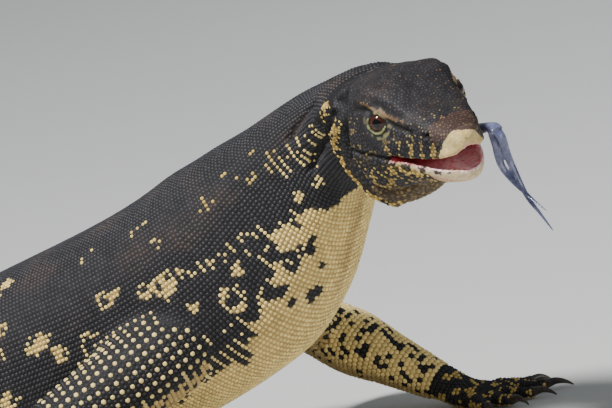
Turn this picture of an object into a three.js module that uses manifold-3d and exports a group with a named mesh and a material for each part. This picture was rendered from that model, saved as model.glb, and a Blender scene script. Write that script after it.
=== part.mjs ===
// Water monitor lizard at life size, standing with its forequarters raised and its head turned to its right.
// Millimetres, +Z up, +X the way the trunk faces, +Y the animal's left. The floor is Z = 0.
// The neck, trunk and tail are one tapering body swept along a spine and parted into lengths. Head, jaw, eyes,
// tongue and the three lengths of each leg are separate solids that meet it face to face.
import * as THREE from "three";
import { mergeVertices } from "three/addons/utils/BufferGeometryUtils.js";
import Module from "manifold-3d";

const wasm = await Module();
wasm.setup();

// Driving dimensions
const joinGap = 0.3;
const headLength = 101.5;
const neckLength = 148;
const hipStation = -375;
const tailTipStation = -1400;
const shoulderHeight = 116;
const floorFlat = 0.8;

// Stations of the spine, from the tail's tip forwards. along: distance in front of the shoulders. yaw: heading to
// the left in degrees. rise: pitch in degrees. wide, top, bottom: the section's half width and its reach above and
// below the spine. Behind the hips the rise is not used, because the tail lies on the floor.
const spineStations = [
  { along: tailTipStation, yaw: -30, rise: 0, wide: 1.2, top: 2.2, bottom: 2.2 },
  { along: -1230, yaw: -12, rise: 0, wide: 4.0, top: 7.5, bottom: 6.5 },
  { along: -1040, yaw: 16, rise: 0, wide: 7.0, top: 12.5, bottom: 11 },
  { along: -850, yaw: 34, rise: 0, wide: 10.5, top: 17.5, bottom: 15 },
  { along: -680, yaw: 36, rise: 0, wide: 15, top: 23, bottom: 19 },
  { along: -540, yaw: 26, rise: 4, wide: 22, top: 29, bottom: 25 },
  { along: -450, yaw: 17, rise: 5, wide: 29, top: 34, bottom: 31 },
  { along: hipStation, yaw: 11, rise: 2, wide: 40, top: 38, bottom: 38 },
  { along: -300, yaw: 8, rise: 2, wide: 54, top: 44, bottom: 44 },
  { along: -200, yaw: 5, rise: 9, wide: 58, top: 46, bottom: 49 },
  { along: -120, yaw: 2, rise: 16, wide: 57, top: 47, bottom: 56 },
  { along: -50, yaw: 0, rise: 19, wide: 54, top: 46, bottom: 66 },
  { along: 0, yaw: -1, rise: 27, wide: 50, top: 46, bottom: 66 },
  { along: 35, yaw: -4, rise: 35, wide: 43, top: 41, bottom: 58 },
  { along: 70, yaw: -9, rise: 38, wide: 35, top: 31, bottom: 44 },
  { along: 100, yaw: -18, rise: 33, wide: 29, top: 23, bottom: 34 },
  { along: 128, yaw: -31, rise: 20, wide: 26.5, top: 16.5, bottom: 32.5 },
  { along: neckLength, yaw: -38, rise: -8, wide: 27, top: 15.5, bottom: 37 },
];
const headRoll = 6.5;
const sectionSquareness = 2.3;
const spineStep = 5;

// Smooth curves through tables of numbers

function smoothTable(rows, at, read) {
  const slope = (i, j) => (read(rows[j]) - read(rows[i])) / (rows[j][at] - rows[i][at]);
  const last = rows.length - 1;
  const tangents = rows.map((_, i) => {
    if (i === 0 || i === last) return slope(Math.max(i - 1, 0), Math.min(i + 1, last));
    const before = slope(i - 1, i);
    const after = slope(i, i + 1);
    return before * after > 0 ? (2 * before * after) / (before + after) : 0;
  });
  return (x) => {
    let i = 0;
    while (i < last - 1 && x > rows[i + 1][at]) i++;
    const length = rows[i + 1][at] - rows[i][at];
    const t = THREE.MathUtils.clamp((x - rows[i][at]) / length, 0, 1);
    const a = read(rows[i]);
    const b = read(rows[i + 1]);
    const cube = t * t * t;
    const square = t * t;
    return (
      a * (2 * cube - 3 * square + 1) +
      b * (3 * square - 2 * cube) +
      length * (tangents[i] * (cube - 2 * square + t) + tangents[i + 1] * (cube - square))
    );
  };
}

const bodyYaw = smoothTable(spineStations, "along", (r) => THREE.MathUtils.degToRad(r.yaw));
const bodyRise = smoothTable(spineStations, "along", (r) => THREE.MathUtils.degToRad(r.rise));
const bodyWide = smoothTable(spineStations, "along", (r) => r.wide);
const bodyTop = smoothTable(spineStations, "along", (r) => r.top);
const bodyBottom = smoothTable(spineStations, "along", (r) => r.bottom);

// The spine, walked in short steps from the shoulders both ways

function spineDirection(along) {
  const yaw = bodyYaw(along);
  const rise = bodyRise(along);
  return new THREE.Vector3(Math.cos(rise) * Math.cos(yaw), Math.cos(rise) * Math.sin(yaw), Math.sin(rise));
}

const tailOnFloorFrom = -650;
const tailBlend = 210;

function walkSpine(end) {
  const sign = Math.sign(end);
  const points = [new THREE.Vector3(0, 0, shoulderHeight)];
  for (let s = 0; Math.abs(s) < Math.abs(end) - 1e-6; s += sign * spineStep) {
    const next = points.at(-1).clone().addScaledVector(spineDirection(s + (sign * spineStep) / 2), sign * spineStep);
    const onFloor = THREE.MathUtils.smoothstep(-(s + sign * spineStep), -tailOnFloorFrom - tailBlend, -tailOnFloorFrom);
    if (sign < 0) next.z = THREE.MathUtils.lerp(next.z, bodyBottom(s - spineStep) - floorFlat, onFloor);
    points.push(next);
  }
  return points;
}

const pointsBack = walkSpine(tailTipStation);
const pointsForward = walkSpine(neckLength);

function spinePoint(along) {
  const points = along < 0 ? pointsBack : pointsForward;
  const place = Math.min(Math.abs(along) / spineStep, points.length - 1 - 1e-9);
  const i = Math.floor(place);
  return points[i].clone().lerp(points[i + 1], place - i);
}

// Forward, left and up directions of the body's section at a station
function sectionFrame(along) {
  const reach = spineStep;
  const a = Math.min(along + reach, neckLength);
  const b = Math.max(along - reach, tailTipStation);
  const forward = spinePoint(a).sub(spinePoint(b)).normalize();
  if (along > neckLength - reach) forward.copy(spineDirection(neckLength));
  const left = new THREE.Vector3(0, 0, 1).cross(forward).normalize();
  const roll = THREE.MathUtils.degToRad(headRoll) * THREE.MathUtils.smoothstep(along, 60, neckLength);
  left.applyAxisAngle(forward, roll);
  const up = forward.clone().cross(left);
  return { origin: spinePoint(along), forward, left, up };
}

// Geometry helpers

function asSolid(geometry) {
  geometry.deleteAttribute("normal");
  geometry.deleteAttribute("uv");
  const merged = mergeVertices(geometry, 1e-4);
  return new wasm.Manifold(
    new wasm.Mesh({
      numProp: 3,
      vertProperties: new Float32Array(merged.attributes.position.array),
      triVerts: new Uint32Array(merged.index.array),
    }),
  );
}

// A closed tube: place(t, angle, r) gives the point at share t of its length, angle round it, on the rim where r is 1
function tube(rings, sides, place) {
  const geometry = new THREE.CylinderGeometry(1, 1, 1, sides, rings);
  const position = geometry.attributes.position;
  for (let i = 0; i < position.count; i++) {
    const x = position.getX(i);
    const z = position.getZ(i);
    const r = Math.hypot(x, z) < 0.5 ? 0 : 1;
    const side = (Math.round((Math.atan2(z, x) / (2 * Math.PI)) * sides) + sides) % sides;
    const point = place(position.getY(i) + 0.5, (2 * Math.PI * side) / sides, r);
    position.setXYZ(i, point.x, point.y, point.z);
  }
  const solid = asSolid(geometry);
  return solid.volume() < 0 ? asSolid(flipped(geometry)) : solid;
}

function flipped(geometry) {
  const index = geometry.index;
  for (let i = 0; i < index.count; i += 3) {
    const keep = index.getX(i);
    index.setX(i, index.getX(i + 1));
    index.setX(i + 1, keep);
  }
  return geometry;
}

const signedPower = (value, power) => Math.sign(value) * Math.abs(value) ** power;

function sectionPoint(frame, angle, r, size, grow) {
  const power = 2 / size.square;
  const across = signedPower(Math.cos(angle), power) * (size.wide + grow) * r;
  const reach = Math.sin(angle) > 0 ? size.top : size.bottom;
  const height = signedPower(Math.sin(angle), power) * (reach + grow) * r;
  return frame.origin.clone().addScaledVector(frame.left, across).addScaledVector(frame.up, height);
}

// A length of the neck, trunk and tail between two stations
function bodyLength(from, to, rings, sides, grow = 0) {
  return tube(rings, sides, (t, angle, r) => {
    const along = from + joinGap / 2 + (to - from - joinGap) * t;
    const size = {
      wide: bodyWide(along),
      top: bodyTop(along),
      bottom: bodyBottom(along),
      square: along < hipStation ? 2 : sectionSquareness,
    };
    return sectionPoint(sectionFrame(along), angle, r, size, grow);
  });
}

// A limb piece along a curve. girth(t) gives half width and half height; the ends are rounded by roundEnd at each end.
function limbPiece(points, girth, rings, sides, upHint, grow = 0) {
  const curve = points.length === 2 ? new THREE.LineCurve3(...points) : new THREE.CatmullRomCurve3(points);
  return tube(rings, sides, (t, angle, r) => {
    const eased = 0.5 - 0.5 * Math.cos(Math.PI * t);
    const round = Math.max(Math.sin(Math.PI * t), 0.02) ** 0.5;
    const forward = curve.getTangentAt(THREE.MathUtils.clamp(eased, 0.001, 0.999));
    const left = upHint.clone().cross(forward).normalize();
    const frame = { origin: curve.getPointAt(eased), forward, left, up: forward.clone().cross(left) };
    const [wide, high] = girth(eased);
    const size = { wide: wide * round, top: high * round, bottom: high * round, square: 2 };
    frame.origin.addScaledVector(forward, grow * Math.cos(Math.PI * t) * -1);
    return sectionPoint(frame, angle, r, size, grow);
  });
}

const join = (solids) => wasm.Manifold.union(solids);

// Only the largest closed surface, standing on the floor
function whole(solid) {
  const trimmed = solid.trimByPlane([0, 0, 1], 0);
  return trimmed.decompose().sort((a, b) => b.volume() - a.volume())[0];
}

const vec = (x, y, z) => new THREE.Vector3(x, y, z);

// The head's own frame: x forward from its joint with the neck, y left, z up
const headFrame = sectionFrame(neckLength);
const headMatrix = new THREE.Matrix4()
  .makeBasis(headFrame.forward, headFrame.left, headFrame.up)
  .setPosition(headFrame.origin);
const inHead = (x, y, z) => vec(x, y, z).applyMatrix4(headMatrix);

// Stations of the head. wide: half width, top: crown, lip: edge of the upper lip, jaw: edge of the lower lip,
// throat: underside of the jaw. The lips part in front of the cheeks.
const headStations = [
  { x: 0, wide: 27, top: 15.5, lip: -9, jaw: -9.9, throat: -37 },
  { x: 14, wide: 29.5, top: 17.8, lip: -9, jaw: -9.9, throat: -46 },
  { x: 28, wide: 30, top: 19.8, lip: -8.5, jaw: -9.3, throat: -46.5 },
  { x: 42, wide: 28.5, top: 21, lip: -8.5, jaw: -9.3, throat: -38.5 },
  { x: 54, wide: 26, top: 19.8, lip: -8.6, jaw: -9.6, throat: -30.4 },
  { x: 66, wide: 22, top: 15.2, lip: -8.8, jaw: -10, throat: -26.6 },
  { x: 80, wide: 17, top: 11, lip: -8.9, jaw: -11.6, throat: -25 },
  { x: 90, wide: 13, top: 8.5, lip: -7.3, jaw: -12.8, throat: -23.6 },
  { x: 97, wide: 8.6, top: 6.2, lip: -5.1, jaw: -13.6, throat: -21.8 },
  { x: headLength, wide: 3, top: 2.6, lip: -3.2, jaw: -13, throat: -17.6 },
];
const jawJoint = 20;
const jawTip = 99;
const eye = { x: 52, y: 20.2, z: 7.9, radius: 6.4 };
const headWide = smoothTable(headStations, "x", (r) => r.wide);
const headTop = smoothTable(headStations, "x", (r) => r.top);
const headLip = smoothTable(headStations, "x", (r) => r.lip);
const headJaw = smoothTable(headStations, "x", (r) => r.jaw);
const headThroat = smoothTable(headStations, "x", (r) => r.throat);
const bump = (x, middle, spread) => Math.exp(-(((x - middle) / spread) ** 2));

// Half width at a height: the crown is a flat table with ridges over the eyes, and the cheek swells behind them
function upperHead() {
  return tube(24, 28, (t, angle, r) => {
    const x = headLength * (1 - (1 - t) ** 1.35);
    const s = Math.sin(angle);
    const c = Math.cos(angle);
    const wide = headWide(x);
    if (s < 0) {
      const palate = 3.5 * (1 - c * c) * bump(x, 70, 40);
      return inHead(x, wide * signedPower(c, 0.7) * r, (headLip(x) + palate) * signedPower(-s, 0.25) * r);
    }
    const brow = 3.6 * bump(x, 48, 13) * bump(s, 0.72, 0.22);
    const snoutSide = 0.8 - 0.2 * bump(x, 78, 16);
    const across = wide * signedPower(c, snoutSide) * (1 - 0.1 * bump(x, 62, 12) * bump(s, 0.45, 0.3));
    const dome = 2.6 * bump(x, 46, 27) * bump(c, 0, 0.6);
    const dip = 0.7 * bump(x, 62, 14) * bump(c, 0, 0.3);
    const height = headTop(x) * signedPower(s, 0.72) + brow + dome - dip;
    return inHead(x, (across + Math.sign(c) * brow * 0.55) * r, height * r);
  });
}

// The part behind the mouth, which holds the jaw's joint
function headBase() {
  return tube(5, 28, (t, angle, r) => {
    const x = (jawJoint - joinGap) * t;
    const s = Math.sin(angle);
    const reach = s > 0 ? headTop(x) - 1.5 : -headThroat(x);
    const across = (headWide(x) - (s > 0 ? 1.5 : 0)) * signedPower(Math.cos(angle), 0.87);
    return inHead(x, across * r, signedPower(s, 0.87) * reach * r);
  });
}

// The jaw: its upper face is a shallow trough between the lips
function lowerJaw() {
  return tube(18, 24, (t, angle, r) => {
    const x = jawJoint + 1.5 + (jawTip - jawJoint - 1.5) * (1 - (1 - t) ** 1.3);
    const s = Math.sin(angle);
    const wide = headWide(Math.min(x + 1.5, headLength)) - 0.8;
    const lip = headJaw(x);
    const trough = -6 * s * bump(x, 76, 26);
    const under = (headThroat(x) - lip) * signedPower(Math.max(-s, 0), 0.85);
    return inHead(x, wide * signedPower(Math.cos(angle), 0.82) * r, lip + (s > 0 ? trough : under) * r);
  });
}

function ballInHead(radius, x, y, z, stretch = [1, 1, 1], detail = 12) {
  const geometry = new THREE.SphereGeometry(radius, detail, Math.round(detail * 0.7));
  geometry.scale(...stretch).translate(x, y, z).applyMatrix4(headMatrix);
  return asSolid(geometry);
}

// Lids: a ring round the eye, turned to face sideways, forwards and a little up
const eyeFacing = { yaw: 0.32, lift: 0.3 };
function lidRing(side) {
  const geometry = new THREE.TorusGeometry(eye.radius * 0.86, 1.5, 6, 16);
  geometry.scale(1.12, 0.9, 1);
  geometry.rotateX(side > 0 ? -Math.PI / 2 + eyeFacing.lift : Math.PI / 2 - eyeFacing.lift);
  geometry.rotateZ(side > 0 ? -eyeFacing.yaw : eyeFacing.yaw);
  const out = vec(Math.sin(eyeFacing.yaw), side * Math.cos(eyeFacing.yaw), eyeFacing.lift).multiplyScalar(3.1);
  geometry.translate(eye.x + out.x, side * eye.y + out.y, eye.z + out.z).applyMatrix4(headMatrix);
  return asSolid(geometry);
}

const sides = [1, -1];
const headBody = join([upperHead(), headBase(), ...sides.map(lidRing)]);
const headHollows = join(
  sides.flatMap((side) => [
    ballInHead(eye.radius + joinGap, eye.x, side * eye.y, eye.z),
    ballInHead(1.6, 86, side * 13, 4.2, [1.7, 1, 0.8], 8),
    ballInHead(3, 12, side * 30.5, 3, [0.8, 1, 1.35], 10),
  ]),
);
const eyes = sides.map((side) => ballInHead(eye.radius, eye.x, side * eye.y, eye.z, [1, 1, 1], 14));
const jawBody = lowerJaw();

// Tongue: one stem out of the front of the mouth on its left side, then two tines that droop and cross.
// Points are in the head's frame.
const tongueStem = [
  [58, 2, -10.4],
  [66, 5, -11.2],
  [74, 8.5, -12],
  [80, 12, -11.6],
  [83.6, 15.8, -10.2],
  [84.6, 19.6, -7.8],
  [84, 23.4, -7.6],
];
const tongueOuterTine = [
  [83.8, 22.8, -7.8],
  [84.9, 25, -12.8],
  [84.4, 26, -23.6],
  [87.3, 26.5, -34],
  [92.2, 27, -44.6],
  [100.9, 27.5, -52.1],
  [108.7, 28, -59.3],
];
const tongueInnerTine = [
  [84, 20.2, -8.2],
  [83.6, 21, -15.8],
  [83.9, 21.5, -25.9],
  [88.4, 23, -33.9],
  [98.4, 25, -41.6],
  [110.5, 26.5, -47.5],
];
const stemHalf = [3.6, 1.7];
const tineHalf = [2.7, 1.2];

function tongueSolid() {
  const up = headFrame.up;
  const sweep = (points, girth, rings) =>
    limbPiece(points.map((p) => inHead(...p)), girth, rings, 8, up.clone().addScaledVector(headFrame.forward, 0.9));
  const tine = (points) => sweep(points, (t) => tineHalf.map((half) => half * (1 - 0.82 * t ** 1.2)), 12);
  return join([sweep(tongueStem, () => stemHalf, 16), tine(tongueOuterTine), tine(tongueInnerTine)]);
}

// Legs. Joints are points in the part's frame, from the shoulder or hip to the longest toe's tip.
const legs = {
  fore_left: {
    root: vec(-2, 30, 86),
    elbow: vec(-4, 92, 52),
    wrist: vec(60, 90, 14),
    aim: -0.04,
    girths: [23, 19, 17, 11.5],
    foot: { palm: 26, toes: 34, wide: 12.5, spread: 0.34 },
  },
  fore_right: {
    root: vec(-2, -30, 86),
    elbow: vec(-72, -88, 49),
    wrist: vec(0, -124, 14),
    aim: -0.35,
    girths: [24, 21, 17.5, 11.5],
    foot: { palm: 26, toes: 34, wide: 12.5, spread: 0.34 },
  },
};
const hip = spinePoint(hipStation);
Object.assign(legs, {
  hind_left: {
    root: hip.clone().add(vec(0, 24, -2)),
    elbow: hip.clone().add(vec(22, 104, 4)),
    wrist: hip.clone().add(vec(-30, 132, 13 - hip.z)),
    aim: 0.5,
    girths: [27, 19, 16, 11],
    foot: { palm: 40, toes: 44, wide: 13.5, spread: 0.3 },
  },
  hind_right: {
    root: hip.clone().add(vec(0, -24, -2)),
    elbow: hip.clone().add(vec(58, -92, 6)),
    wrist: hip.clone().add(vec(18, -134, 13 - hip.z)),
    aim: -0.4,
    girths: [27, 19, 16, 11],
    foot: { palm: 40, toes: 44, wide: 13.5, spread: 0.3 },
  },
});
const zUp = vec(0, 0, 1);

// Four long toes and a short inner one, with hooked claws. Lengths and angles run from the inner toe outwards.
const toePlan = [
  { angle: -1.9, length: 0.62 },
  { angle: -0.9, length: 0.86 },
  { angle: 0, length: 1.0 },
  { angle: 0.9, length: 1.06 },
  { angle: 2.1, length: 0.78 },
];

function footSolid(leg, side) {
  const { palm, toes, wide, spread } = leg.foot;
  const heading = leg.aim;
  const ahead = (yaw, distance, height) =>
    leg.wrist.clone().setZ(height).add(vec(Math.cos(yaw) * distance, Math.sin(yaw) * distance, 0));
  const ankle = leg.wrist.clone();
  const palmEnd = ahead(heading, palm, 4.6);
  const palmPiece = limbPiece(
    [ankle, ahead(heading, palm * 0.5, 6.6), palmEnd],
    (t) => [leg.girths[3] + (wide - leg.girths[3]) * t, 8.5 - 2.5 * t],
    8,
    12,
    zUp,
  );
  const pieces = toePlan.flatMap(({ angle, length }) => {
    const yaw = heading + side * angle * spread;
    const start = ahead(heading, palm * 0.72, 4).add(vec(-Math.sin(heading), Math.cos(heading), 0)
      .multiplyScalar(side * angle * wide * 0.36));
    const along = (share, height) =>
      start.clone().setZ(height).add(vec(Math.cos(yaw), Math.sin(yaw), 0).multiplyScalar(share * toes * length));
    const toe = limbPiece([along(0, 4), along(0.35, 4.8), along(0.7, 2.7), along(1, 2.3)],
      (t) => [4.1 - 1.1 * t, 4 - 1 * t], 6, 8, zUp);
    const claw = limbPiece([along(0.88, 3.4), along(1.12, 4.6), along(1.29, 2.8), along(1.36, 0.9)],
      (t) => [1.7 * (1 - 0.8 * t), 2.3 * (1 - 0.8 * t)], 5, 5, zUp);
    return [toe, claw];
  });
  return join([palmPiece, ...pieces]);
}

function legSolids(name) {
  const leg = legs[name];
  const side = name.endsWith("left") ? 1 : -1;
  const [rootGirth, kneeGirth, midGirth, ankleGirth] = leg.girths;
  const hint = vec(0.2, 0, 1);
  const upper = (grow) =>
    limbPiece([leg.root, leg.elbow], (t) => [rootGirth + (kneeGirth - rootGirth) * t, rootGirth - 2 + (kneeGirth - rootGirth) * t],
      10, 16, hint, grow);
  const lowerTop = leg.elbow.clone().addScaledVector(leg.elbow.clone().sub(leg.root).normalize(), -4);
  const lower = (grow) =>
    limbPiece([lowerTop, leg.wrist], (t) => {
      const swell = 1.5 * bump(t, 0.35, 0.25);
      return [midGirth + swell + (ankleGirth - midGirth) * t, midGirth + swell - 1 + (ankleGirth - midGirth) * t];
    }, 10, 16, hint, grow);
  return { upper, lower, foot: footSolid(leg, side) };
}

// Where the body is parted, from the tail's tip to the head
const bodyParts = [
  { name: "tail_tip", from: tailTipStation, to: -1120, rings: 10, around: 10, color: 0x4a4638 },
  { name: "tail_middle", from: -1120, to: -780, rings: 16, around: 14, color: 0x403c32 },
  { name: "tail_base", from: -780, to: -440, rings: 16, around: 18, color: 0x38352e },
  { name: "torso_rear", from: -440, to: -200, rings: 13, around: 24, color: 0x302e2b },
  { name: "torso_front", from: -200, to: 20, rings: 15, around: 26, color: 0x2f2d2b },
  { name: "neck", from: 20, to: neckLength, rings: 13, around: 28, color: 0x3a352c },
];

const model = new THREE.Group();

function addNode(name, solid, color, roughness) {
  const { vertProperties, triVerts, numProp } = whole(solid).getMesh();
  const position = new Float32Array((vertProperties.length / numProp) * 3);
  for (let i = 0; i * 3 < position.length; i++) position.set(vertProperties.subarray(i * numProp, i * numProp + 3), i * 3);
  const geometry = new THREE.BufferGeometry();
  geometry.setAttribute("position", new THREE.BufferAttribute(position, 3));
  geometry.setIndex(new THREE.BufferAttribute(triVerts, 1));
  geometry.computeVertexNormals();
  const mesh = new THREE.Mesh(geometry, new THREE.MeshStandardMaterial({ color, roughness, metalness: 0 }));
  mesh.name = name;
  model.add(mesh);
}

const grownBody = join(bodyParts.slice(2).map((p) => bodyLength(p.from - joinGap, p.to + joinGap, p.rings, p.around, joinGap)));
for (const p of bodyParts) addNode(p.name, bodyLength(p.from, p.to, p.rings, p.around), p.color, 0.55);

addNode("head", headBody.subtract(headHollows), 0x33302c, 0.55);
const shifted = (solid, rise) => solid.translate(headFrame.up.clone().multiplyScalar(rise).toArray());
addNode("lower_jaw", jawBody.subtract(shifted(headBody, -joinGap)), 0x8a7a4c, 0.5);
sides.forEach((side, i) => addNode(side > 0 ? "eye_left" : "eye_right", eyes[i], 0x1a0f0a, 0.1));
const mouthWalls = join([jawBody, shifted(jawBody, joinGap), headBody, shifted(headBody, -joinGap)]);
addNode("tongue", tongueSolid().subtract(mouthWalls), 0x5a5f80, 0.35);

for (const name of Object.keys(legs)) {
  const [end, side] = name.split("_");
  const { upper, lower, foot } = legSolids(name);
  const [a, b, c] = end === "fore" ? ["upper_arm", "forearm", "hand"] : ["thigh", "shank", "foot"];
  addNode(a + "_" + side, upper(0).subtract(grownBody), 0x3a382c, 0.55);
  addNode(b + "_" + side, lower(0).subtract(upper(joinGap)), 0x4a4632, 0.55);
  addNode(c + "_" + side, foot.subtract(lower(joinGap)).subtract(upper(joinGap)), 0x26241f, 0.5);
}

// The origin is under the middle of the whole model, on the floor
const box = new THREE.Box3().setFromObject(model);
model.position.set(-(box.min.x + box.max.x) / 2, -(box.min.y + box.max.y) / 2, -box.min.z);

export default model;
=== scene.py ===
import math

import bmesh
import bpy
import numpy as np
from mathutils import Matrix, Vector, bvhtree, kdtree, noise


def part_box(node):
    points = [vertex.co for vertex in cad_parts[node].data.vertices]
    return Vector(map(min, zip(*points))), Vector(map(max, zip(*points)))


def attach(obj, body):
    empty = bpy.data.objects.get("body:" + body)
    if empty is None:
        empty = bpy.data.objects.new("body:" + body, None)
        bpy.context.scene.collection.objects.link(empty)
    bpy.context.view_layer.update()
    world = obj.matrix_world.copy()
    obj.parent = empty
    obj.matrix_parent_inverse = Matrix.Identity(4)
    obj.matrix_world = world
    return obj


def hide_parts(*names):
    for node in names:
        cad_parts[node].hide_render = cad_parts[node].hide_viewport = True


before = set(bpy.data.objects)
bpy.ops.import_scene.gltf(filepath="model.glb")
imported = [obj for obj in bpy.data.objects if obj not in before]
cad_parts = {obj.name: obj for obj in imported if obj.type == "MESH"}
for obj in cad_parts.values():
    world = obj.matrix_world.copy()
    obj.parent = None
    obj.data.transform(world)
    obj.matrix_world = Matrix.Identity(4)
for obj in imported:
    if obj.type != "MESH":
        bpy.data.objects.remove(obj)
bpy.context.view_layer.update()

# The lizard's build. Neck, trunk and tail are one tapering body along a spine. Each row is a station:
# distance in front of the shoulders, heading to the left and pitch in degrees, then the section's half
# width and its reach above and below the spine, in millimetres.
spine_rows = np.array([
    (-1400, -30, 0, 1.2, 2.2, 2.2),
    (-1230, -12, 0, 4, 7.5, 6.5),
    (-1040, 16, 0, 7, 12.5, 11),
    (-850, 34, 0, 10.5, 17.5, 15),
    (-680, 36, 0, 15, 23, 19),
    (-540, 26, 4, 22, 29, 25),
    (-450, 17, 5, 29, 34, 31),
    (-375, 11, 2, 40, 38, 38),
    (-300, 8, 2, 54, 44, 44),
    (-200, 5, 9, 58, 46, 49),
    (-120, 2, 16, 57, 47, 56),
    (-50, 0, 19, 54, 46, 66),
    (0, -1, 27, 50, 46, 66),
    (35, -4, 35, 43, 41, 58),
    (70, -9, 38, 35, 31, 44),
    (100, -18, 33, 29, 23, 34),
    (128, -31, 20, 26.5, 16.5, 32.5),
    (148, -38, -8, 27, 15.5, 37),
], float)
neck_end = 148
tail_end = -1400
hip_station = -375
shoulder_height = 116
floor_flat = 0.8
head_roll = 6.5
tail_on_floor = -650
tail_blend = 210
step = 5


def smooth_curve(x, y):
    slope = np.diff(y) / np.diff(x)
    before, after = slope[:-1], slope[1:]
    both = before * after > 0
    middle = np.where(both, 2 * before * after / np.where(both, before + after, 1), 0)
    tangent = np.concatenate([slope[:1], middle, slope[-1:]])

    def value(at):
        i = np.clip(np.searchsorted(x, at, side="right") - 1, 0, len(x) - 2)
        length = x[i + 1] - x[i]
        t = np.clip((at - x[i]) / length, 0, 1)
        cube, square = t**3, t * t
        ends = y[i] * (2 * cube - 3 * square + 1) + y[i + 1] * (3 * square - 2 * cube)
        return ends + length * (tangent[i] * (cube - 2 * square + t) + tangent[i + 1] * (cube - square))

    return value


def ease(x, low, high):
    t = np.clip((np.asarray(x, float) - low) / (high - low), 0, 1)
    return t * t * (3 - 2 * t)


def unit(v):
    return v / np.maximum(np.linalg.norm(v, axis=-1, keepdims=True), 1e-9)


spine_yaw = smooth_curve(spine_rows[:, 0], np.radians(spine_rows[:, 1]))
spine_rise = smooth_curve(spine_rows[:, 0], np.radians(spine_rows[:, 2]))
body_wide, body_top, body_bottom = (smooth_curve(spine_rows[:, 0], spine_rows[:, i]) for i in (3, 4, 5))


def heading(at):
    yaw, rise = float(spine_yaw(at)), float(spine_rise(at))
    return np.array([math.cos(rise) * math.cos(yaw), math.cos(rise) * math.sin(yaw), math.sin(rise)])


def walk(end):
    sign = math.copysign(1, end)
    at, point = 0, np.array([0, 0, shoulder_height], float)
    places = [(0, *point)]
    while abs(at) < abs(end):
        point = point + heading(at + sign * step / 2) * sign * step
        at += sign * step
        if sign < 0:
            down = float(ease(-at, -tail_on_floor - tail_blend, -tail_on_floor))
            point[2] += (float(body_bottom(at)) - floor_flat - point[2]) * down
        places.append((at, *point))
    return places


spine_points = np.array(sorted(walk(tail_end) + walk(neck_end)[1:]))


def spine_point(at):
    return np.stack([np.interp(at, spine_points[:, 0], spine_points[:, k]) for k in (1, 2, 3)], -1)


every_mm = np.arange(tail_end, neck_end + 1, dtype=float)
spine_ahead = spine_point(np.minimum(every_mm + step, neck_end))
spine_forward = unit(spine_ahead - spine_point(np.maximum(every_mm - step, tail_end)))
spine_forward[every_mm > neck_end - step] = heading(neck_end)
level_left = unit(np.cross([0, 0, 1], spine_forward))
level_up = np.cross(spine_forward, level_left)
roll = (np.radians(head_roll) * ease(every_mm, 60, neck_end))[:, None]
spine_left = level_left * np.cos(roll) + level_up * np.sin(roll)
spine_up = np.cross(spine_forward, spine_left)


def at_spine(table, at):
    return np.stack([np.interp(at, every_mm, table[:, k]) for k in range(3)], -1)


def bent_power(value, power):
    return np.sign(value) * np.abs(value) ** power


def body_surface(at, angle, r=1.0):
    power = 1 - 0.13 * ease(at, hip_station - 60, hip_station)
    across = bent_power(np.cos(angle), power) * body_wide(at) * r
    reach = np.where(np.sin(angle) > 0, body_top(at), body_bottom(at))
    height = bent_power(np.sin(angle), power) * reach * r
    place = spine_point(at) + at_spine(spine_left, at) * across[:, None]
    return place + at_spine(spine_up, at) * height[:, None]


# The head's build, in its own frame: x forward from its joint with the neck, y left, z up. Each row is a
# station with its half width, the crown, the edges of the upper and lower lips, and the jaw's underside.
head_rows = np.array([
    (0, 27, 15.5, -9, -9.9, -37),
    (14, 29.5, 17.8, -9, -9.9, -46),
    (28, 30, 19.8, -8.5, -9.3, -46.5),
    (42, 28.5, 21, -8.5, -9.3, -38.5),
    (54, 26, 19.8, -8.6, -9.6, -30.4),
    (66, 22, 15.2, -8.8, -10, -26.6),
    (80, 17, 11, -8.9, -11.6, -25),
    (90, 13, 8.5, -8.2, -12.8, -23.6),
    (97, 8.6, 6.2, -6.6, -13.6, -21.8),
    (101.5, 3, 2.6, -4.6, -13, -17.6),
], float)
head_length = 101.5
jaw_joint = 20
jaw_tip = 99
eye_x, eye_y, eye_z, eye_radius = 52, 20.2, 7.9, 6.4
eye_facing = unit(np.array([[0.6, 0.755, 0.26]]))[0]
head_wide, head_top, head_lip, head_jaw, head_throat = (
    smooth_curve(head_rows[:, 0], head_rows[:, i]) for i in range(1, 6))
head_origin = spine_point(neck_end)
head_axes = np.stack([spine_forward[-1], spine_left[-1], spine_up[-1]])


def in_head(x, y, z):
    return head_origin + np.stack(np.broadcast_arrays(x, y, z), -1) @ head_axes


def head_place(points):
    return (points - head_origin) @ head_axes.T


eye_low = (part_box("eye_left")[0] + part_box("eye_right")[0]) / 2
eye_high = (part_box("eye_left")[1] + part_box("eye_right")[1]) / 2
shift = np.array((eye_low + eye_high) / 2) - in_head(eye_x, 0.0, eye_z) * 0.001


def placed(points):
    return points * 0.001 + shift


def bump(x, middle, spread):
    return np.exp(-(((x - middle) / spread) ** 2))


def upper_head(x, angle, r):
    s, c = np.sin(angle), np.cos(angle)
    wide = head_wide(x)
    brow = 2.2 * bump(x, 48, 13) * bump(s, 0.72, 0.22)
    dome = 4.6 * bump(x, 46, 27) * ease(s, 0.42, 0.85)
    snout_side = 0.8 - 0.2 * bump(x, 78, 16)
    across = wide * bent_power(c, snout_side) * (1 - 0.1 * bump(x, 62, 12) * bump(s, 0.45, 0.3))
    crown = head_top(x) * bent_power(s, 0.72) + brow + dome - 0.7 * bump(x, 62, 14) * bump(c, 0, 0.3)
    palate = (3.5 * (1 - c * c) - 1.2 * bump(np.abs(c), 0.78, 0.09)) * bump(x, 76, 30)
    under = (head_lip(x) + palate) * np.abs(s) ** 0.14
    below = s < 0
    y = np.where(below, wide * bent_power(c, 0.7), across + np.sign(c) * brow * 0.55)
    return in_head(x, y * r, np.where(below, under, crown) * r)


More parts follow.
